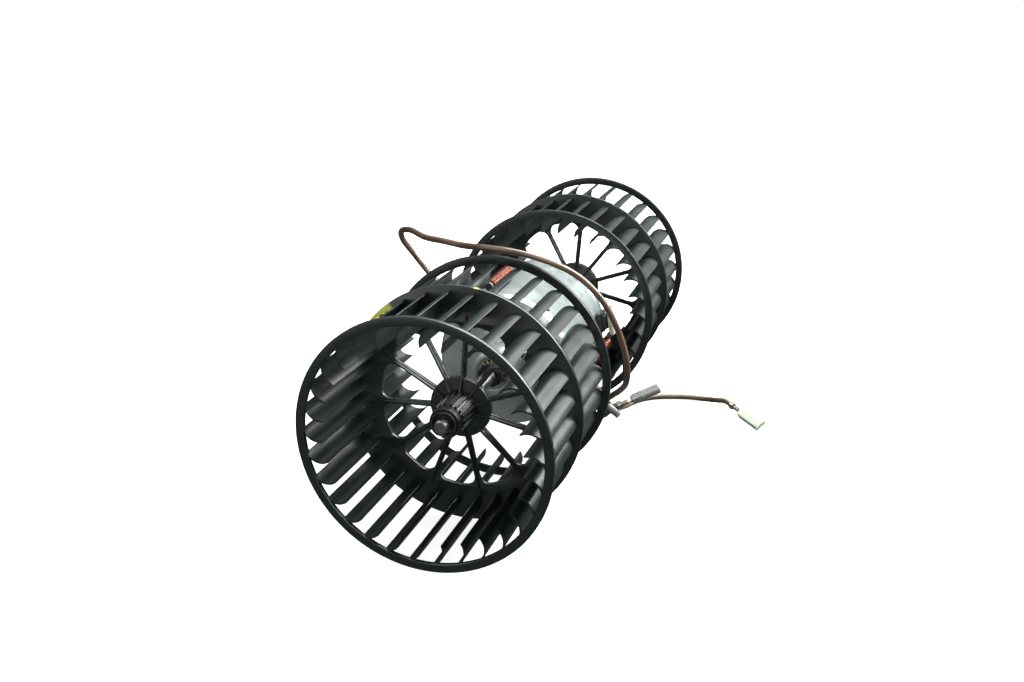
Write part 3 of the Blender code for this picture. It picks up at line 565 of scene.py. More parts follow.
def connector(label, path, up, vinyl):
    """The brass connector and its clear sleeve on the end of a lead."""
    tip = path[-1]
    forward = (path[-1] - path[-3]).normalized()
    side, over = frame_along(forward, up)
    shape = bmesh.new()
    start = tip - forward * 2.4 * MM
    wings = soften([(-2.15 * MM, -2.1 * MM), (2.15 * MM, -2.1 * MM), (2.3 * MM, 1.0 * MM),
                    (0.8 * MM, 2.4 * MM), (0.0, 1.7 * MM), (-0.8 * MM, 2.4 * MM),
                    (-2.3 * MM, 1.0 * MM)], 0.7 * MM, 3)
    prism(shape, wings, start, start + forward * 3.0 * MM, side, over)
    grip = soften([(-1.4 * MM, -1.5 * MM), (1.4 * MM, -1.5 * MM), (1.5 * MM, 0.5 * MM),
                   (0.5 * MM, 1.4 * MM), (0.0, 0.9 * MM), (-0.5 * MM, 1.4 * MM),
                   (-1.5 * MM, 0.5 * MM)], 0.5 * MM, 3)
    prism(shape, grip, tip + forward * 1.0 * MM, tip + forward * 4.6 * MM, side, over)
    floor = rounded_box(2.6 * MM, STRIP, 0.12 * MM)
    neck_drop = over * (-1.3 * MM)
    prism(shape, floor, start + neck_drop, tip + forward * 8.5 * MM + neck_drop, side, over)
    body_start = tip + forward * 7.6 * MM
    prism(shape, rolled_section(7.2 * MM, 2.3 * MM), body_start,
          body_start + forward * 8.6 * MM, side, over)
    metal = finish_piece(label + "_flat_connector", shape, TINNED, "motor",
                         [label + "_receptacle"])

    shape = bmesh.new()
    sleeve_start = tip + forward * (CRIMP_LENGTH + 2 * SEAT_GAP)
    rows = []
    for inset, distance in ((0.55 * MM, 0.9 * MM), (0.55 * MM, SLEEVE_LENGTH), (0.0, SLEEVE_LENGTH),
                            (0.0, 2.6 * MM), (0.75 * MM, 0.0), (1.1 * MM, 0.3 * MM)):
        outline = rounded_box(SLEEVE_WIDTH - 2 * inset, SLEEVE_HEIGHT - 2 * inset,
                              1.5 * MM - inset, 5)
        place = sleeve_start + forward * distance
        rows.append([shape.verts.new(place + side * x + over * y) for x, y in outline])
    skin(shape, rows, closed=True)
    sleeve = finish_piece(label + "_clear_sleeve", shape, vinyl, "motor",
                          [label + "_receptacle_sleeve"])
    return [metal, sleeve]


print("connector maker ready")

# %% [markdown]
# The long lead has two more pieces at its end: a black sleeve over its last stretch, painted shade
# for the stretch that lies in shade, and a short open tube of smoky vinyl beside its connector,
# whose bore holds a black rod, also painted shade.  All of it is put on the motor's body, as the
# lead is.

# %% The leads' ends
UPWARDS = Vector((0.0, 0.0, 1.0))
# The black sleeve on the long lead's last points is painted shade: it darkens the lead's end, which
# lies in shade where it turns behind the front wheel's inner rim.
PAINTED_SHADE_POINTS = 8           # points of the long lead that the shrink sleeve covers
TUBE_START = Vector((61.0, -27.5, -28.6)) * MM
TUBE_END = Vector((68.6, -27.0, -34.6)) * MM
TUBE_STEPS = 28
painted_shade = wire("black_painted_shade_sleeve", long_path[-PAINTED_SHADE_POINTS:], LEAD_RADIUS + 0.35 * MM,
              TRIM_BLACK, "motor", 5)
tube_way = (TUBE_END - TUBE_START).normalized()
tube_side, tube_over = frame_along(tube_way, UPWARDS)
shape = bmesh.new()
rows = []
for radius, distance in ((1.5, 1.2), (1.5, 9.5), (2.2, 9.6), (2.3, 9.2), (2.3, 0.3), (2.1, 0.0),
                         (1.5, 0.2)):
    rows.append(circle_row(shape, TUBE_START + tube_way * distance * MM, tube_side, tube_over,
                           radius * MM, TUBE_STEPS))
skin(shape, rows, closed=True)
spare_tube = finish_piece("grey_end_tube", shape, SMOKY_VINYL, "motor")
# The black rod inside the open tube is painted shade: it fills the bore so that the tube's mouth
# reads as a dark hole.
painted_shade_plug = wire("end_tube_painted_shade_plug", [TUBE_START + tube_way * d * MM for d in (1.0, 5.0, 9.1)],
            1.45 * MM, TRIM_BLACK, "motor")

for label, lead, path, up, vinyl, extras in (
        ("long_lead", long_lead, long_path, UPWARDS, SMOKY_VINYL, [painted_shade, spare_tube, painted_shade_plug]),
        ("floor_lead", floor_lead, floor_path, Vector((0.0, -0.6, 0.8)), CLEAR_VINYL, [])):
    ends = connector(label, path, up, vinyl) + extras

# %% [markdown]
# ## The wheels
# A wheel is one moulding.  A web with eleven spokes carries two rows of thirty blades, one row on
# each side, and an end ring holds the free tips of each row.  The rows are staggered by half a
# pitch so that the wheel hums less.  A blade is a short arc in section, thickest in its middle,
# and a little thicker at the web than at the ring, because the steel mould needs that draft.
# The parts are closed shells that reach into each other, as the plastic itself flows together.

# %% Wheel values
front_low, front_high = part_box("front_wheel")
WHEEL_RADIUS = front_high[0]
WHEEL_LENGTH = front_high[1] - front_low[1]
FRONT_WEB = (front_low[1] + front_high[1]) / 2
REAR_WEB = -FRONT_WEB
RIM_DEPTH = 4.9 * MM
RIM_THICKNESS = 2.6 * MM
WEB_THICKNESS = 2.2 * MM
WEB_RADIUS = WHEEL_RADIUS - 1.0 * MM
WINDOW_RADIUS = 48.0 * MM
WINDOW_CORNER = 5.5 * MM    # round at the windows' outer corners
WINDOW_HEEL = 1.6 * MM      # and at their inner corners, by the hub's disc
WINDOW_ARC_ENDS = 0.16      # radians short of the spoke, where the outer corner's round begins
DISC_RADIUS = 16.5 * MM
SPOKES = 11
SPOKE_WIDTH = 2.8 * MM
SPOKE_ANGLE = math.radians(20.0)
BLADES = 30
BLADE_ARC = 8.75 * MM
BLADE_CENTRE = Vector((57.4 * MM, -2.1 * MM))
BLADE_START = math.radians(14.0)
BLADE_END = math.radians(113.0)
PHASES = {"front": (10.1, 3.6), "rear": (3.4, 8.3)}      # outer and inner row, in degrees
print("wheel:", round(2 * WHEEL_RADIUS, 4), "m across,", round(WHEEL_LENGTH, 4), "m long")


# %% Blade rows
def blade_section(turn, thickness, along, steps=10):
    """Closed outline of one blade across the shaft: an arc that thins towards its two tips."""
    sides = ([], [])
    for step in range(steps + 1):
        share = step / steps
        angle = BLADE_START + (BLADE_END - BLADE_START) * share
        half = thickness / 2 * (0.5 + 0.5 * math.sin(math.pi * share) ** 0.6)
        for side, sign in zip(sides, (1.0, -1.0)):
            arm = BLADE_ARC + sign * half
            side.append(BLADE_CENTRE + arm * Vector((math.cos(angle), math.sin(angle))))
    tips = []
    for a, b in ((sides[0][-1], sides[1][-1]), (sides[1][0], sides[0][0])):
        across = (b - a) / 2
        tips.append((a + b) / 2 - Vector((across.y, -across.x)))
    outline = sides[0] + [tips[0]] + sides[1][::-1] + [tips[1]]
    return [around(turn + math.atan2(p.y, p.x), p.length, along) for p in outline]


def blade_row(shape, web, rim, phase):
    """One row of blades from the web out to an end ring."""
    inward = 1.0 if rim > web else -1.0
    for index in range(BLADES):
        turn = math.radians(phase) + math.tau * index / BLADES
        rows = []
        for share, thickness in ((0.0, 1.55 * MM), (0.06, 1.3 * MM), (0.5, 1.15 * MM),
                                 (1.0, 1.0 * MM)):
            along = web + (rim - inward * 0.5 * MM - web) * share
            rows.append([shape.verts.new(p) for p in blade_section(turn, thickness, along)])
        loft(shape, rows)


print("blades:", BLADES, "in a row, two rows to a wheel")


# %% [markdown]
# The web is a flat disc with a window between each two spokes.  A filled curve makes it in one
# go, holes and all, and then its sharp edges are bevelled.  Each spoke carries a rib that climbs
# towards the hub, which is where the pull of the blades ends up.

# %% Web and spokes
def window_outline(side):
    """One window between two spokes, its corners rounded, in shaft-end view."""
    pitch = math.tau / SPOKES
    middle = SPOKE_ANGLE + pitch * (side + 0.5)
    half_spoke = SPOKE_WIDTH / 2

    def corner(radius, inset, start, end, steps):
        place = radius - inset if radius > DISC_RADIUS else radius + inset
        angle = pitch / 2 - math.asin((half_spoke + inset) / place)
        centre = Vector((place * math.cos(angle), place * math.sin(angle)))
        return [centre + inset * Vector((math.cos(t), math.sin(t)))
                for t in (start(angle) + (end(angle) - start(angle)) * i / steps
                          for i in range(steps + 1))]

    quarter = math.pi / 2
    half = corner(WINDOW_RADIUS, WINDOW_CORNER, lambda a: a, lambda a: pitch / 2 + quarter, 8)
    half += corner(DISC_RADIUS, WINDOW_HEEL, lambda a: pitch / 2 + quarter,
                   lambda a: a + math.pi, 5)
    sweep = pitch / 2 - WINDOW_ARC_ENDS
    rim_side = [WINDOW_RADIUS * Vector((math.cos(sweep * i / 4), math.sin(sweep * i / 4)))
                for i in range(4)]
    half = rim_side + half
    whole = half + [Vector((p.x, -p.y)) for p in reversed(half[1:])]
    return [(p.length, middle + math.atan2(p.y, p.x)) for p in whole]


def cut_plate(outlines, low, high, bevel):
    """A bevelled plate across the shaft, from outlines of (radius, angle) points."""
    curve = bpy.data.curves.new("plate_outline", "CURVE")
    curve.dimensions = "2D"
    curve.fill_mode = "BOTH"
    curve.extrude = (high - low) / 2
    for outline in outlines:
        spline = curve.splines.new("POLY")
        spline.points.add(len(outline) - 1)
        for point, (radius, angle) in zip(spline.points, outline):
            point.co = (radius * math.cos(angle), -radius * math.sin(angle), 0.0, 1.0)
        spline.use_cyclic_u = True
    holder = bpy.data.objects.new("plate_outline", curve)
    LOOKS.objects.link(holder)
    bpy.context.view_layer.update()
    seen = holder.evaluated_get(bpy.context.evaluated_depsgraph_get())
    mesh = bpy.data.meshes.new_from_object(seen)
    bpy.data.objects.remove(holder, do_unlink=True)
    bpy.data.curves.remove(curve)
    laid = Matrix.Translation((0.0, (low + high) / 2, 0.0)) @ Matrix.Rotation(-math.pi / 2, 4, "X")
    mesh.transform(laid)
    shape = bmesh.new()
    into_shape(shape, mesh)
    bmesh.ops.remove_doubles(shape, verts=shape.verts, dist=0.00001)
    sharp = [edge for edge in shape.edges
             if edge.is_manifold and edge.calc_face_angle(0.0) > math.radians(60.0)
             and abs(edge.verts[0].co.y - edge.verts[1].co.y) < 0.00001]
    bmesh.ops.bevel(shape, geom=sharp, offset=bevel, segments=2, profile=0.5, affect="EDGES",
                    clamp_overlap=True)
    return shape


def full_circle(radius, steps):
    """A circle as (radius, angle) points."""
    return [(radius, math.tau * i / steps) for i in range(steps)]


def spoke_rib(shape, turn, web, outward, heights, width):
    """A rib along one spoke, whose height falls from the hub to the windows' outer edge."""
    along_spoke = around(turn, 1.0)
    side = Vector((-along_spoke.z, 0.0, along_spoke.x))
    out = Vector((0.0, outward, 0.0))
    rows = []
    for radius, height in heights:
        foot = along_spoke * radius + Vector((0.0, web, 0.0))
        section = ((-width / 2 - 0.25 * MM, 0.3 * MM), (-width / 2, height - 0.35 * MM),
                   (-width / 2 + 0.3 * MM, height), (width / 2 - 0.3 * MM, height),
                   (width / 2, height - 0.35 * MM), (width / 2 + 0.25 * MM, 0.3 * MM))
        rows.append([shape.verts.new(foot + side * x + out * y) for x, y in section])
    loft(shape, rows)


print("web:", SPOKES, "spokes")


# %% [markdown]
# The hub is a fluted sleeve.  The flutes keep its wall even, so that the moulding cools without
# sinking, and they end under a plain collar.  The shaft stands out of a recess in that collar.

# %% Hub
SHAFT_RADIUS = 4.0 * MM
HUB_BORE = SHAFT_RADIUS + 0.08 * MM
HUB_LENGTH = 27.0 * MM
HUB_BACK = 14.0 * MM
COLLAR_RADIUS = 7.4 * MM
COLLAR_LENGTH = 7.0 * MM
RECESS_RADIUS = 5.9 * MM
RECESS_DEPTH = 3.4 * MM
CORE_RADIUS = 8.1 * MM
FLUTE_RADIUS = 9.2 * MM
FLUTES = 18


def hub(shape, web, outward):
    """The hub's turned sleeve with its flutes; outward is the way its collar faces."""
    def at(distance):
        return web + outward * distance

    face = WEB_THICKNESS / 2 + 1.6 * MM
    outline = [(HUB_BORE, at(HUB_LENGTH - RECESS_DEPTH)),
               (RECESS_RADIUS, at(HUB_LENGTH - RECESS_DEPTH)),
               (RECESS_RADIUS + 0.2 * MM, at(HUB_LENGTH)), (COLLAR_RADIUS, at(HUB_LENGTH)),
               (COLLAR_RADIUS, at(HUB_LENGTH - COLLAR_LENGTH)),
               (CORE_RADIUS, at(HUB_LENGTH - COLLAR_LENGTH)), (CORE_RADIUS + 1.2 * MM, at(face)),
               (DISC_RADIUS + 1.0 * MM, at(face)), (DISC_RADIUS + 1.0 * MM, at(-1.1 * MM)),
               (CORE_RADIUS + 1.6 * MM, at(-2.2 * MM)), (CORE_RADIUS + 0.7 * MM, at(-HUB_BACK)),
               (HUB_BORE, at(-HUB_BACK))]
    revolve(shape, soften(outline, 0.5 * MM), 96)
    for index in range(FLUTES):
        turn = math.tau * index / FLUTES
        arm = around(turn, 1.0)
        side = Vector((-arm.z, 0.0, arm.x))
        rib = soften([(-0.85 * MM, -0.9 * MM), (0.85 * MM, -0.9 * MM), (0.6 * MM, 0.75 * MM),
                      (-0.6 * MM, 0.75 * MM)], 0.25 * MM, 2)
        start = arm * (FLUTE_RADIUS - 0.6 * MM) + Vector((0.0, at(HUB_LENGTH - COLLAR_LENGTH), 0.0))
        end = arm * (FLUTE_RADIUS + 0.4 * MM) + Vector((0.0, at(face - 0.3 * MM), 0.0))
        prism(shape, rib, start, end, side, arm, 1.35)


def wheel(label, web, outward, material):
    """One wheel's moulding: web, ribs, hub, and on each side a row of blades and its ring."""
    half = WEB_THICKNESS / 2
    outlines = [full_circle(WEB_RADIUS, 150)]
    outlines += [window_outline(side) for side in range(SPOKES)]
    outlines.append(full_circle(HUB_BORE + 2.0 * MM, 32))
    shape = cut_plate(outlines, web - half, web + half, 0.35 * MM)
    for index in range(SPOKES):
        turn = SPOKE_ANGLE + math.tau * index / SPOKES
        spoke_rib(shape, turn, web, outward,
                  ((CORE_RADIUS, half + 5.2 * MM), (DISC_RADIUS + 1.0 * MM, half + 2.4 * MM),
                   (WINDOW_RADIUS + 5.0 * MM, half + 0.9 * MM)), 1.3 * MM)
        spoke_rib(shape, turn, web, -outward,
                  ((CORE_RADIUS, half + 2.4 * MM), (DISC_RADIUS + 1.0 * MM, half + 1.0 * MM),
                   (WINDOW_RADIUS + 3.0 * MM, half + 0.5 * MM)), 1.1 * MM)
    hub(shape, web, outward)
    outer_phase, inner_phase = PHASES[label]
    for side, phase in ((outward, outer_phase), (-outward, inner_phase)):
        rim = web + side * WHEEL_LENGTH / 2
        blade_row(shape, web, rim, phase)
        ring = [(WHEEL_RADIUS - RIM_DEPTH, rim - side * RIM_THICKNESS),
                (WHEEL_RADIUS, rim - side * RIM_THICKNESS), (WHEEL_RADIUS, rim),
                (WHEEL_RADIUS - RIM_DEPTH, rim)]
        revolve(shape, soften(ring, 0.55 * MM), 180)
    return finish_piece(label + "_wheel_moulding", shape, material, "rotor",
                        [label + "_wheel"])


wheel("front", FRONT_WEB, -1.0, PAINTED_BLACK)
wheel("rear", REAR_WEB, 1.0, WHEEL_BLACK)

# %% [markdown]
# ## Hub clips, shaft and washers
# A sprung steel clip grips each hub's collar on the shaft.  The shaft is ground bar with
# chamfered ends.  In each bearing boss a dished star washer of sprung brass holds the bush:
# its sixteen teeth bite into the boss, and its dish faces outwards, where it can be seen.

# %% Clips, shaft and star washers
def hub_clip(label, web, outward):
    """A split band round the hub's collar."""
    low, high = sorted((web + outward * (HUB_LENGTH - 1.2 * MM),
                        web + outward * (HUB_LENGTH - COLLAR_LENGTH + 1.0 * MM)))
    inner = COLLAR_RADIUS + 0.3 * MM
    outer = inner + 0.9 * MM
    shape = bmesh.new()
    gap = math.radians(9.0)
    rows = []
    for step in range(73):
        turn = math.radians(250.0) + gap + (math.tau - 2 * gap) * step / 72
        section = soften([(inner, low), (outer, low), (outer, high), (inner, high)],
                         0.25 * MM, 2)
        rows.append([shape.verts.new(around(turn, r, y)) for r, y in section])
    loft(shape, rows)
    finish_piece(label + "_spring_clip", shape, DARK_STEEL, "rotor",
                 [label + "_hub_clip"])


hub_clip("front", FRONT_WEB, -1.0)
hub_clip("rear", REAR_WEB, 1.0)

shaft_low, shaft_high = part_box("rotor_shaft")
shape = bmesh.new()
tip = 0.8 * MM
ends = []
for end, inward in ((shaft_low[1], 1.0), (shaft_high[1], -1.0)):
    ends.append([(0.0, end + inward * 0.25 * MM), (0.9 * MM, end), (SHAFT_RADIUS - tip, end),
                 (SHAFT_RADIUS, end + inward * tip)])
revolve(shape, ends[0] + ends[1][::-1], 64)
finish_piece("ground_shaft", shape, STEEL, "rotor", ["rotor_shaft"], 20.0)


WASHER_TEETH = 16
WASHER_SHEET = 0.5 * MM
TOOTH_DEPTH = 1.3 * MM


def star_washer(label, outward):
    """A washer with square teeth round its edge, dished outwards."""
    low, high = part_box(label + "_star_washer")
    outer = (high[0] - low[0]) / 2
    steps = WASHER_TEETH * 4
    dish = (high[1] - low[1]) - WASHER_SHEET
    back = low[1] if outward > 0 else high[1]
    rows = []
    shape = bmesh.new()
    for step in range(steps):
        turn = math.tau * step / steps
        reach = outer if step % 4 < 2 else outer - TOOTH_DEPTH
        ring = []
        for radius, rise in ((reach, 0.0), ((outer + SHAFT_RADIUS) / 2, 0.75),
                             (SHAFT_RADIUS + 1.3 * MM, 1.0)):
            ring.append((radius, back + outward * dish * rise))
        section = ring + [(radius, along + outward * WASHER_SHEET) for radius, along in ring[::-1]]
        rows.append([shape.verts.new(around(turn, radius, along)) for radius, along in section])
    skin(shape, rows, closed=True)
    finish_piece(label + "_toothed_washer", shape, BRASS, "motor",
                 [label + "_star_washer"])


star_washer("front", -1.0)
star_washer("rear", 1.0)

# %% [markdown]
# ## The motor's casing
# The can is deep-drawn from one sheet: a round wall, a soft shoulder, a flat front and a long
# boss that holds the front bearing.  Windows and slots are punched through its wall.  The end
# plate closes the back, spigoted into the can and held by tabs bent over from the can's edge.
# Turning the outline gives the drawn form, and a Boolean punches the windows as a press would.

# %% Casing
CAN_RADIUS = 42.0 * MM
CAN_WALL = 2.0 * MM
can_low, can_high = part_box("motor_can")
CAN_REAR = can_high[1]
CAN_FRONT = -48.0 * MM
CAN_SHOULDER = 5.0 * MM
BOSS_FRONT = can_low[1]
BOSS_RADIUS = 11.0 * MM
LIP_RADIUS = 12.8 * MM      # the rolled lip round the front boss's mouth
SEAT_RADIUS = 7.9 * MM
MOUTH_RADIUS = 8.6 * MM


def punched(shape, cutters):
    """The shape with the cutters' boxes taken out of it."""
    mesh = bpy.data.meshes.new("blank")
    shape.to_mesh(mesh)
    shape.free()
    blank = bpy.data.objects.new("blank", mesh)
    LOOKS.objects.link(blank)
    tool_mesh = bpy.data.meshes.new("punch")
    cutters.to_mesh(tool_mesh)
    cutters.free()
    tool = bpy.data.objects.new("punch", tool_mesh)
    LOOKS.objects.link(tool)
    cut = blank.modifiers.new("cut", "BOOLEAN")
    cut.operation = "DIFFERENCE"
    cut.object = tool
    cut.solver = "EXACT"
    bpy.context.view_layer.update()
    seen = blank.evaluated_get(bpy.context.evaluated_depsgraph_get())
    result = bmesh.new()
    into_shape(result, bpy.data.meshes.new_from_object(seen))
    for obj, data in ((blank, mesh), (tool, tool_mesh)):
        bpy.data.objects.remove(obj, do_unlink=True)
        bpy.data.meshes.remove(data)
    return result


def wall_box(shape, angle, radius, along, size):
    """A round-cornered block across the can's wall: (through, round the can, along it)."""
    arm = around(angle, 1.0)
    side = Vector((-arm.z, 0.0, arm.x))
    middle = around(angle, radius, along)
    outline = rounded_box(size[1], size[2], min(size[1], size[2]) * 0.35, 4)
    prism(shape, outline, middle - arm * size[0] / 2, middle + arm * size[0] / 2, side,
          Vector((0.0, 1.0, 0.0)))


outer_line = [(CAN_RADIUS, CAN_REAR), (CAN_RADIUS, CAN_REAR - 3.0 * MM),
              (CAN_RADIUS - 0.5 * MM, CAN_REAR - 3.6 * MM), (CAN_RADIUS - 0.5 * MM, -24.0 * MM),
              (CAN_RADIUS, -24.6 * MM), (CAN_RADIUS, CAN_FRONT + CAN_SHOULDER),
              (CAN_RADIUS - CAN_SHOULDER * 0.3, CAN_FRONT + CAN_SHOULDER * 0.3),
              (CAN_RADIUS - CAN_SHOULDER, CAN_FRONT), (21.0 * MM, CAN_FRONT),
              (14.0 * MM, CAN_FRONT - 3.4 * MM), (BOSS_RADIUS, CAN_FRONT - 8.0 * MM),
              (BOSS_RADIUS, BOSS_FRONT + 4.2 * MM), (LIP_RADIUS, BOSS_FRONT + 3.4 * MM),
              (LIP_RADIUS, BOSS_FRONT + 1.2 * MM), (LIP_RADIUS - 1.2 * MM, BOSS_FRONT),
              (MOUTH_RADIUS + 1.6 * MM, BOSS_FRONT), (MOUTH_RADIUS, BOSS_FRONT + 1.8 * MM)]
inner_line = [(MOUTH_RADIUS, BOSS_FRONT + 2.6 * MM), (SEAT_RADIUS, BOSS_FRONT + 2.6 * MM),
              (SEAT_RADIUS, CAN_FRONT - 3.0 * MM), (12.0 * MM, CAN_FRONT),
              (18.5 * MM, CAN_FRONT + CAN_WALL), (CAN_RADIUS - 5.4 * MM, CAN_FRONT + CAN_WALL),
              (CAN_RADIUS - CAN_WALL, CAN_FRONT + CAN_SHOULDER),
              (CAN_RADIUS - CAN_WALL, CAN_REAR)]
can = bmesh.new()
revolve(can, soften(outer_line, 1.4 * MM, 3) + soften(inner_line, 0.3 * MM, 1), 144)
bmesh.ops.recalc_face_normals(can, faces=can.faces)
punches = bmesh.new()
SLOT_SIZE = (8.0 * MM, 15.0 * MM, 2.4 * MM)         # near the can's back
WINDOW_SIZE = (8.0 * MM, 6.0 * MM, 3.4 * MM)        # near its front
FIRST_SLOT = math.radians(62.0)
for index in range(4):
    angle = FIRST_SLOT + math.pi / 2 * index
    wall_box(punches, angle, CAN_RADIUS, CAN_REAR - 7.0 * MM, SLOT_SIZE)
    wall_box(punches, angle - 0.12, CAN_RADIUS, CAN_FRONT + 9.0 * MM, WINDOW_SIZE)
bmesh.ops.recalc_face_normals(punches, faces=punches.faces)
finish_piece("drawn_can", punched(can, punches), ZINC, "motor", ["motor_can"], 28.0)

plate_low, plate_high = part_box("end_plate")
PLATE_FRONT = CAN_REAR + 0.3 * MM
PLATE_REAR = PLATE_FRONT + 2.2 * MM
BOSS_REAR = plate_high[1]
SPIGOT = CAN_RADIUS - CAN_WALL - 0.3 * MM
plate = bmesh.new()
plate_line = [(BOSS_RADIUS - 0.6 * MM, BOSS_REAR), (BOSS_RADIUS, BOSS_REAR - 0.6 * MM),
              (BOSS_RADIUS, PLATE_REAR + 6.0 * MM), (14.0 * MM, PLATE_REAR + 3.4 * MM),
              (22.0 * MM, PLATE_REAR + 1.6 * MM), (24.5 * MM, PLATE_REAR),
              (30.0 * MM, PLATE_REAR), (31.5 * MM, PLATE_REAR - 0.6 * MM),
              (CAN_RADIUS - 5.0 * MM, PLATE_REAR - 0.6 * MM), (CAN_RADIUS - 4.0 * MM, PLATE_REAR),
              (CAN_RADIUS, PLATE_REAR), (CAN_RADIUS, PLATE_FRONT), (SPIGOT, PLATE_FRONT),
              (SPIGOT, plate_low[1]), (SPIGOT - 2.2 * MM, plate_low[1]),
              (SPIGOT - 2.2 * MM, PLATE_FRONT + 0.2 * MM), (12.0 * MM, PLATE_FRONT + 0.8 * MM),
              (SEAT_RADIUS, PLATE_FRONT + 2.6 * MM), (SEAT_RADIUS, BOSS_REAR - 2.4 * MM),
              (MOUTH_RADIUS, BOSS_REAR - 2.4 * MM), (MOUTH_RADIUS, BOSS_REAR)]
revolve(plate, soften(plate_line, 0.8 * MM, 2), 144)
TABS = 6
FIRST_TAB = math.radians(32.0)
for index in range(TABS):
    angle = FIRST_TAB + math.tau * index / TABS
    arm = around(angle, 1.0)
    side = Vector((-arm.z, 0.0, arm.x))
    tab = soften([(-2.4 * MM, 0.0), (2.4 * MM, 0.0), (1.7 * MM, 3.4 * MM), (-1.7 * MM, 3.4 * MM)],
                 0.6 * MM, 3)
    foot = arm * (CAN_RADIUS - 0.2 * MM) + Vector((0.0, PLATE_REAR - 0.3 * MM, 0.0))
    prism(plate, tab, foot, foot + Vector((0.0, 1.2 * MM, 0.0)), side, -arm)
finish_piece("pressed_end_plate", plate, ZINC, "motor", ["end_plate"], 28.0)

# %% [markdown]
# ## Interference chokes
# Two chokes keep the brushes' sparks off the wiring.  Each is a ferrite rod wound with thick
# enamelled copper, lying along the can in a little black saddle.  The wire really is wound, as
# one helix.

# %% Chokes
CHOKE_RADIUS = 3.7 * MM
WIRE_RADIUS = 0.55 * MM
for label in ("top", "side"):
    low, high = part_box("choke_coil_" + label)
    centre = Vector(((low[0] + high[0]) / 2, 0.0, (low[2] + high[2]) / 2))
    outward_way = centre.normalized()
    across = Vector((-outward_way.z, 0.0, outward_way.x))
    length = high[1] - low[1]
    turns = int(length / (2.7 * WIRE_RADIUS)) - 1
    reach = CHOKE_RADIUS - WIRE_RADIUS
    run = length - 2.4 * WIRE_RADIUS
    helix = []
    for step in range(turns * 20 + 1):
        spin = math.tau * step / 20 + math.pi
        along = low[1] + 1.2 * WIRE_RADIUS + run * step / (turns * 20)
        helix.append(centre + outward_way * (reach * math.cos(spin))
                     + across * (reach * math.sin(spin)) + Vector((0.0, along, 0.0)))
    wire("choke_winding_" + label, helix, WIRE_RADIUS, COPPER, "motor", 2,
         ["choke_coil_" + label])
    rod_low, rod_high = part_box("choke_core_" + label)
    rod = bmesh.new()
    revolve(rod, soften([(0.0, rod_high[1]), (2.4 * MM, rod_high[1]), (2.4 * MM, rod_low[1]),
                         (0.0, rod_low[1])], 0.5 * MM, 2), 40, centre)
    finish_piece("choke_rod_" + label, rod, FERRITE, "motor",
                 ["choke_core_" + label])
    saddle_low, saddle_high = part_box("choke_saddle_" + label)
    saddle = bmesh.new()
    foot = outward_way * (CAN_RADIUS + 0.3 * MM)
    cradle = soften([(-3.2 * MM, 0.0), (3.2 * MM, 0.0), (3.4 * MM, 1.3 * MM), (2.4 * MM, 1.2 * MM),
                     (1.6 * MM, 0.7 * MM), (-1.6 * MM, 0.7 * MM), (-2.4 * MM, 1.2 * MM),
                     (-3.4 * MM, 1.3 * MM)], 0.25 * MM, 2)
    prism(saddle, cradle, foot + Vector((0.0, saddle_low[1], 0.0)),
          foot + Vector((0.0, saddle_high[1], 0.0)), across, outward_way)
    finish_piece("choke_cradle_" + label, saddle, TRIM_BLACK, "motor",
                 ["choke_saddle_" + label])
    print("choke", label, "turns:", turns)

# %% [markdown]
# ## Terminals and glands
# A black terminal block sits on the can's right side near its back.  An upright connector in a
# beige sleeve is pushed on it.  Each lead leaves the can through a small black gland, a block
# with a ribbed boot that thins along the wire so that it can't kink at the edge.

# %% Terminal block and its connector
def node_frame(node, angle):
    """Middle of a node that stands on the can, and the ways outward and round the can there."""
    low, high = (Vector(corner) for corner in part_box(node))
    arm = around(angle, 1.0)
    return (low + high) / 2, arm, Vector((-arm.z, 0.0, arm.x))


TERMINAL_ANGLE = math.radians(9.0)
ALONG = Vector((0.0, 1.0, 0.0))
middle, arm, side = node_frame("terminal_block", TERMINAL_ANGLE)
block = bmesh.new()
base = middle - arm * 2.8 * MM
prism(block, rounded_box(13.0 * MM, 12.0 * MM, 1.2 * MM), base, base + arm * 2.4 * MM, side, ALONG)
prism(block, rounded_box(9.6 * MM, 9.0 * MM, 1.0 * MM), base + arm * 2.0 * MM,
      base + arm * 5.6 * MM, side, ALONG, 0.92)
for step in (-1, 1):
    rib = base + side * (step * 5.4 * MM) + arm * 2.0 * MM
    prism(block, rounded_box(1.0 * MM, 9.0 * MM, 0.4 * MM), rib, rib + arm * 1.6 * MM, side, ALONG)
finish_piece("black_terminal_block", block, TRIM_BLACK, "motor",
             ["terminal_block"])

middle, arm, side = node_frame("side_receptacle", TERMINAL_ANGLE)
upright = bmesh.new()
rows = []
half = 9.0 * MM
for inset, distance in ((0.7 * MM, half - 3.0 * MM), (0.6 * MM, half), (0.0, half),
                        (0.0, -half + 3.0 * MM), (0.8 * MM, -half), (1.3 * MM, -half + 0.4 * MM)):
    outline = rounded_box(8.0 * MM - 2 * inset, 3.6 * MM - 2 * inset, 1.3 * MM - inset * 0.8, 5)
    place = middle + side * distance
    rows.append([upright.verts.new(place + ALONG * x + arm * y) for x, y in outline])
skin(upright, rows, closed=True)
finish_piece("upright_beige_sleeve", upright, BEIGE_NYLON, "motor",
             ["side_receptacle"])
inside = bmesh.new()
prism(inside, rolled_section(6.4 * MM, 1.9 * MM), middle - side * 6.0 * MM,
      middle + side * 7.4 * MM, ALONG, arm)
finish_piece("upright_flat_connector", inside, TINNED, "motor")


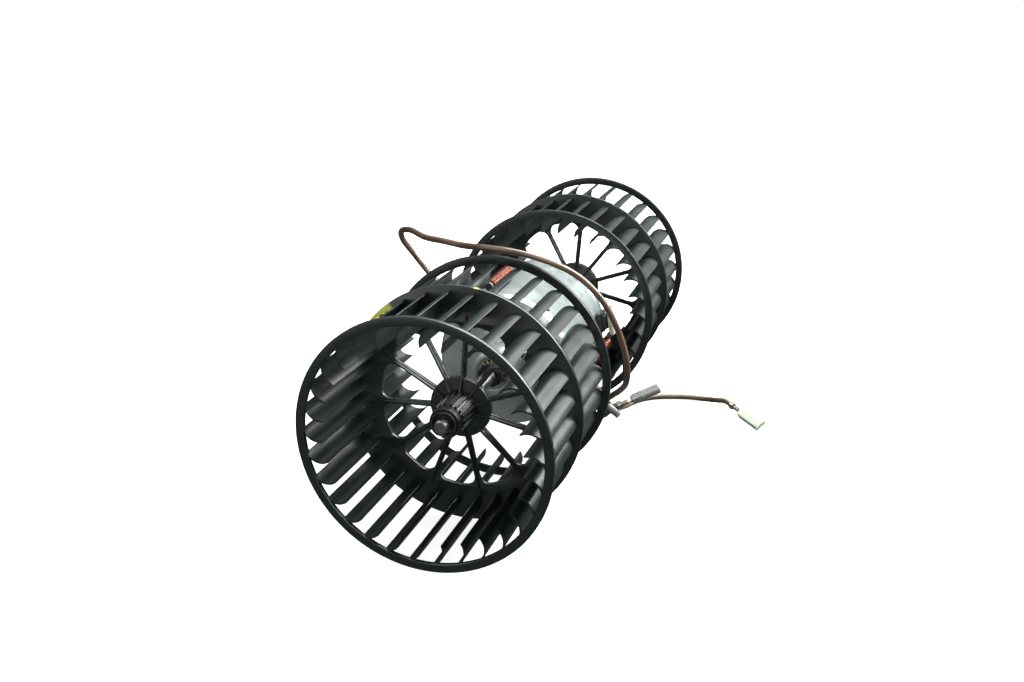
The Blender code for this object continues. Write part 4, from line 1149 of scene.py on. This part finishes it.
# %% Glands and boots
def gland(label, angle, path):
    """A two-step block on the can, and a ribbed boot that thins along the lead."""
    middle, arm, side = node_frame("lead_gland_" + label, angle)
    shape = bmesh.new()
    base = middle - arm * 2.2 * MM
    prism(shape, rounded_box(8.0 * MM, 8.0 * MM, 1.6 * MM, 4), base, base + arm * 2.6 * MM, side,
          ALONG)
    prism(shape, rounded_box(6.6 * MM, 6.6 * MM, 2.4 * MM, 4), base + arm * 2.2 * MM,
          base + arm * 4.4 * MM, side, ALONG, 0.9)
    forward = (path[2] - path[0]).normalized()
    across, over = frame_along(forward, ALONG)
    rows = []
    start = path[0] - forward * 1.6 * MM
    for step in range(15):
        swell = 0.32 * MM if step % 3 == 1 else 0.0
        radius = 3.1 * MM - 0.9 * MM * step / 14 + swell
        place = start + forward * (8.0 * MM * step / 14)
        rows.append(circle_row(shape, place, across, over, radius, 24))
    loft(shape, rows)
    finish_piece("ribbed_gland_" + label, shape, TRIM_BLACK, "motor",
                 ["lead_gland_" + label])


gland("left", math.radians(153.0), long_path)
gland("right", math.radians(-34.0), floor_path)

# %% [markdown]
# ## Balance clip
# A wheel that still shakes gets a small bent clip of spring steel pushed over one blade's edge.
# It is a hairpin in section, so a strip is led along that line and given a width.

# %% Balance clip
BLADE_OF_CLIP = 3
CLIP_LEG = 4.2 * MM
CLIP_SHEET = 0.44 * MM
CLIP_WIDTH = 3.4 * MM
clip_turn = math.radians(PHASES["front"][0]) + math.tau * BLADE_OF_CLIP / BLADES
clip_at = around(clip_turn, 64.6 * MM, FRONT_WEB - 30.0 * MM)
arm = around(clip_turn + math.radians(14.0), 1.0)
side = Vector((-arm.z, 0.0, arm.x))
hairpin = []
for sign in (1.0, -1.0):
    leg = [Vector((-CLIP_LEG, sign * 1.5 * MM)), Vector((-0.6 * MM, sign * 0.85 * MM))]
    hairpin += leg if sign > 0 else leg[::-1]
bend = [Vector((0.6 * MM * math.cos(t), 0.85 * MM * math.sin(t)))
        for t in (math.pi / 2 - math.pi * i / 8 for i in range(9))]
line = hairpin[:2] + bend + hairpin[2:]
outer, inner = [], []
for index, place in enumerate(line):
    ahead = line[min(index + 1, len(line) - 1)] - line[max(index - 1, 0)]
    normal = Vector((-ahead.y, ahead.x)).normalized() * (CLIP_SHEET / 2)
    outer.append(tuple(place + normal))
    inner.append(tuple(place - normal))
clip = bmesh.new()
prism(clip, outer + inner[::-1], clip_at, clip_at + ALONG * CLIP_WIDTH, arm, side)
finish_piece("balance_clip", clip, STEEL, "rotor")

# %% [markdown]
# ## Brush springs
# Each carbon brush is pushed on the commutator by a small coil spring.  The spring is wound as a
# helix over the length of its plain solid; the brush may slide back 3 mm.

# %% Brush springs
SPRING_WIRE = 0.3 * MM
SPRING_TURNS = 7
for label, outward in (("right", 1.0), ("left", -1.0)):
    low, high = (Vector(corner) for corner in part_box("brush_spring_" + label))
    centre = (low + high) / 2
    length = high.x - low.x
    reach = min(high.y - low.y, high.z - low.z) / 2 - SPRING_WIRE
    spring = bmesh.new()
    rows = []
    for step in range(SPRING_TURNS * 20 + 1):
        spin = math.tau * step / 20
        along = (length - 2.4 * SPRING_WIRE) * (step / (SPRING_TURNS * 20) - 0.5)
        arm = Vector((0.0, math.cos(spin), math.sin(spin)))
        place = centre + arm * reach + Vector((along, 0.0, 0.0))
        rows.append(circle_row(spring, place, arm, Vector((1.0, 0.0, 0.0)), SPRING_WIRE, 8))
    loft(spring, rows)
    piece = finish_piece("coil_spring_" + label, spring, STEEL, "motor",
                         ["brush_spring_" + label])
    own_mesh(piece)
    print("spring", label, "length:", round(length, 5))

# %% [markdown]
# ## Finishes for what stays as it is
# The armature, magnets, bushes and brush gear sit inside the can and keep their plain solids.
# They still get real finishes, because they show through the windows.

# %% Finishes of the carried-over nodes
FINISHES = ((DARK_STEEL, ("armature_core",)),
            (COPPER, ("armature_winding_front", "armature_winding_rear", "commutator")),
            (FERRITE, ("magnet_left", "magnet_right")),
            (BRASS, ("front_bearing_bush", "rear_bearing_bush", "brush_box_left",
                     "brush_box_right", "brush_stop_left", "brush_stop_right")),
            (FELT, ("front_oil_felt", "rear_oil_felt")),
            (CARBON, ("brush_left", "brush_right")),
            (TRIM_BLACK, ("brush_card", "front_thrust_washer", "rear_thrust_washer")))
for finish, names in FINISHES:
    for name in names:
        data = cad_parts[name].data
        data.materials.clear()
        data.materials.append(finish)
print("finished nodes:", sum(len(names) for _, names in FINISHES))

# %% [markdown]
# ## Studio
# The blower lies on a white sweep.  The sweep glows, so that it reads as plain white paper under
# strong light, but it is kept out of the reflections: black plastic only shows its form when a
# bright soft box stands against a darker room.  So the room is white for the eye alone.  For every
# other ray it is dark at eye level, a little paler below and palest above.  A broad soft box
# overhead draws the highlights on the rings, three faint ones at the front light the blades'
# hollows, and a strong one behind rims the back.

# %% Floor and light
FLOOR_HEIGHT = CAD_BOX[0][2]
FLOOR_GAP = 0.0002
FLOOR_HALF = 60.0           # so wide that its edge lies far outside every view
floor_shape = bmesh.new()
bmesh.ops.create_grid(floor_shape, x_segments=8, y_segments=8, size=FLOOR_HALF)
for vert in floor_shape.verts:
    vert.co.z = FLOOR_HEIGHT - FLOOR_GAP
floor_mesh = bpy.data.meshes.new("white_sweep")
floor_shape.to_mesh(floor_mesh)
floor_shape.free()
floor = bpy.data.objects.new("white_sweep", floor_mesh)
LOOKS.objects.link(floor)
floor.visible_diffuse = False
floor.visible_glossy = False
paper = Recipe("white_paper", (0.50, 0.50, 0.50), 0.9)
paper.set(paper.shader, {"Emission Color": (1.0, 1.0, 1.0, 1.0), "Emission Strength": 0.88})
paper.feed("Normal", paper.bump(paper.noise(300.0, 3.0), 0.0001, 0.2))
floor_mesh.materials.append(paper.material)

world = bpy.data.worlds.new("white_room")
world.use_nodes = True
room = world.node_tree
white = room.nodes["Background"]
white.inputs["Color"].default_value = (1.0, 1.0, 1.0, 1.0)
dim = room.nodes.new("ShaderNodeBackground")
height = room.nodes.new("ShaderNodeSeparateXYZ")
room.links.new(room.nodes.new("ShaderNodeTexCoord").outputs["Generated"], height.inputs[0])
ramp = room.nodes.new("ShaderNodeValToRGB")
ramp.color_ramp.elements[0].color = (0.16, 0.18, 0.175, 1.0)
ramp.color_ramp.elements.new(0.45).color = (0.035, 0.04, 0.04, 1.0)
ramp.color_ramp.elements[-1].color = (0.55, 0.59, 0.59, 1.0)
lift = room.nodes.new("ShaderNodeMapRange")
lift.inputs["From Min"].default_value = -1.0
room.links.new(height.outputs["Z"], lift.inputs["Value"])
room.links.new(lift.outputs["Result"], ramp.inputs["Fac"])
room.links.new(ramp.outputs["Color"], dim.inputs["Color"])
seen_by = room.nodes.new("ShaderNodeLightPath")
choice = room.nodes.new("ShaderNodeMixShader")
room.links.new(seen_by.outputs["Is Camera Ray"], choice.inputs[0])
room.links.new(dim.outputs[0], choice.inputs[1])
room.links.new(white.outputs[0], choice.inputs[2])
room.links.new(choice.outputs[0], room.nodes["World Output"].inputs[0])
bpy.context.scene.world = world
bpy.context.scene.view_settings.view_transform = "Standard"


def soft_box(name, place, target, size, power):
    """A rectangular lamp that faces its target; the power is in watts."""
    lamp = bpy.data.lights.new(name, "AREA")
    lamp.shape = "RECTANGLE"
    lamp.size, lamp.size_y = size
    lamp.energy = power
    holder = bpy.data.objects.new(name, lamp)
    holder.location = place
    holder.rotation_euler = (Vector(target) - Vector(place)).to_track_quat("-Z", "Y").to_euler()
    LOOKS.objects.link(holder)


soft_box("overhead_box", (0.2, 0.5, 1.1), (0.0, 0.0, 0.0), (0.8, 0.8), 36.0)
soft_box("front_left_box", (-0.8, -0.9, 0.8), (0.0, -0.1, 0.0), (0.5, 0.5), 4.5)
soft_box("front_right_box", (0.6, -1.1, 0.45), (0.0, -0.1, 0.0), (0.5, 0.4), 5.0)
soft_box("low_front_box", (-0.45, -1.0, 0.05), (0.0, -0.1, -0.03), (0.9, 0.16), 1.0)
soft_box("back_right_box", (1.0, 0.6, 0.8), (0.0, 0.0, 0.0), (0.8, 0.7), 58.0)
print("studio ready")

# %% Sizes and finish
print("cad box", CAD_BOX)
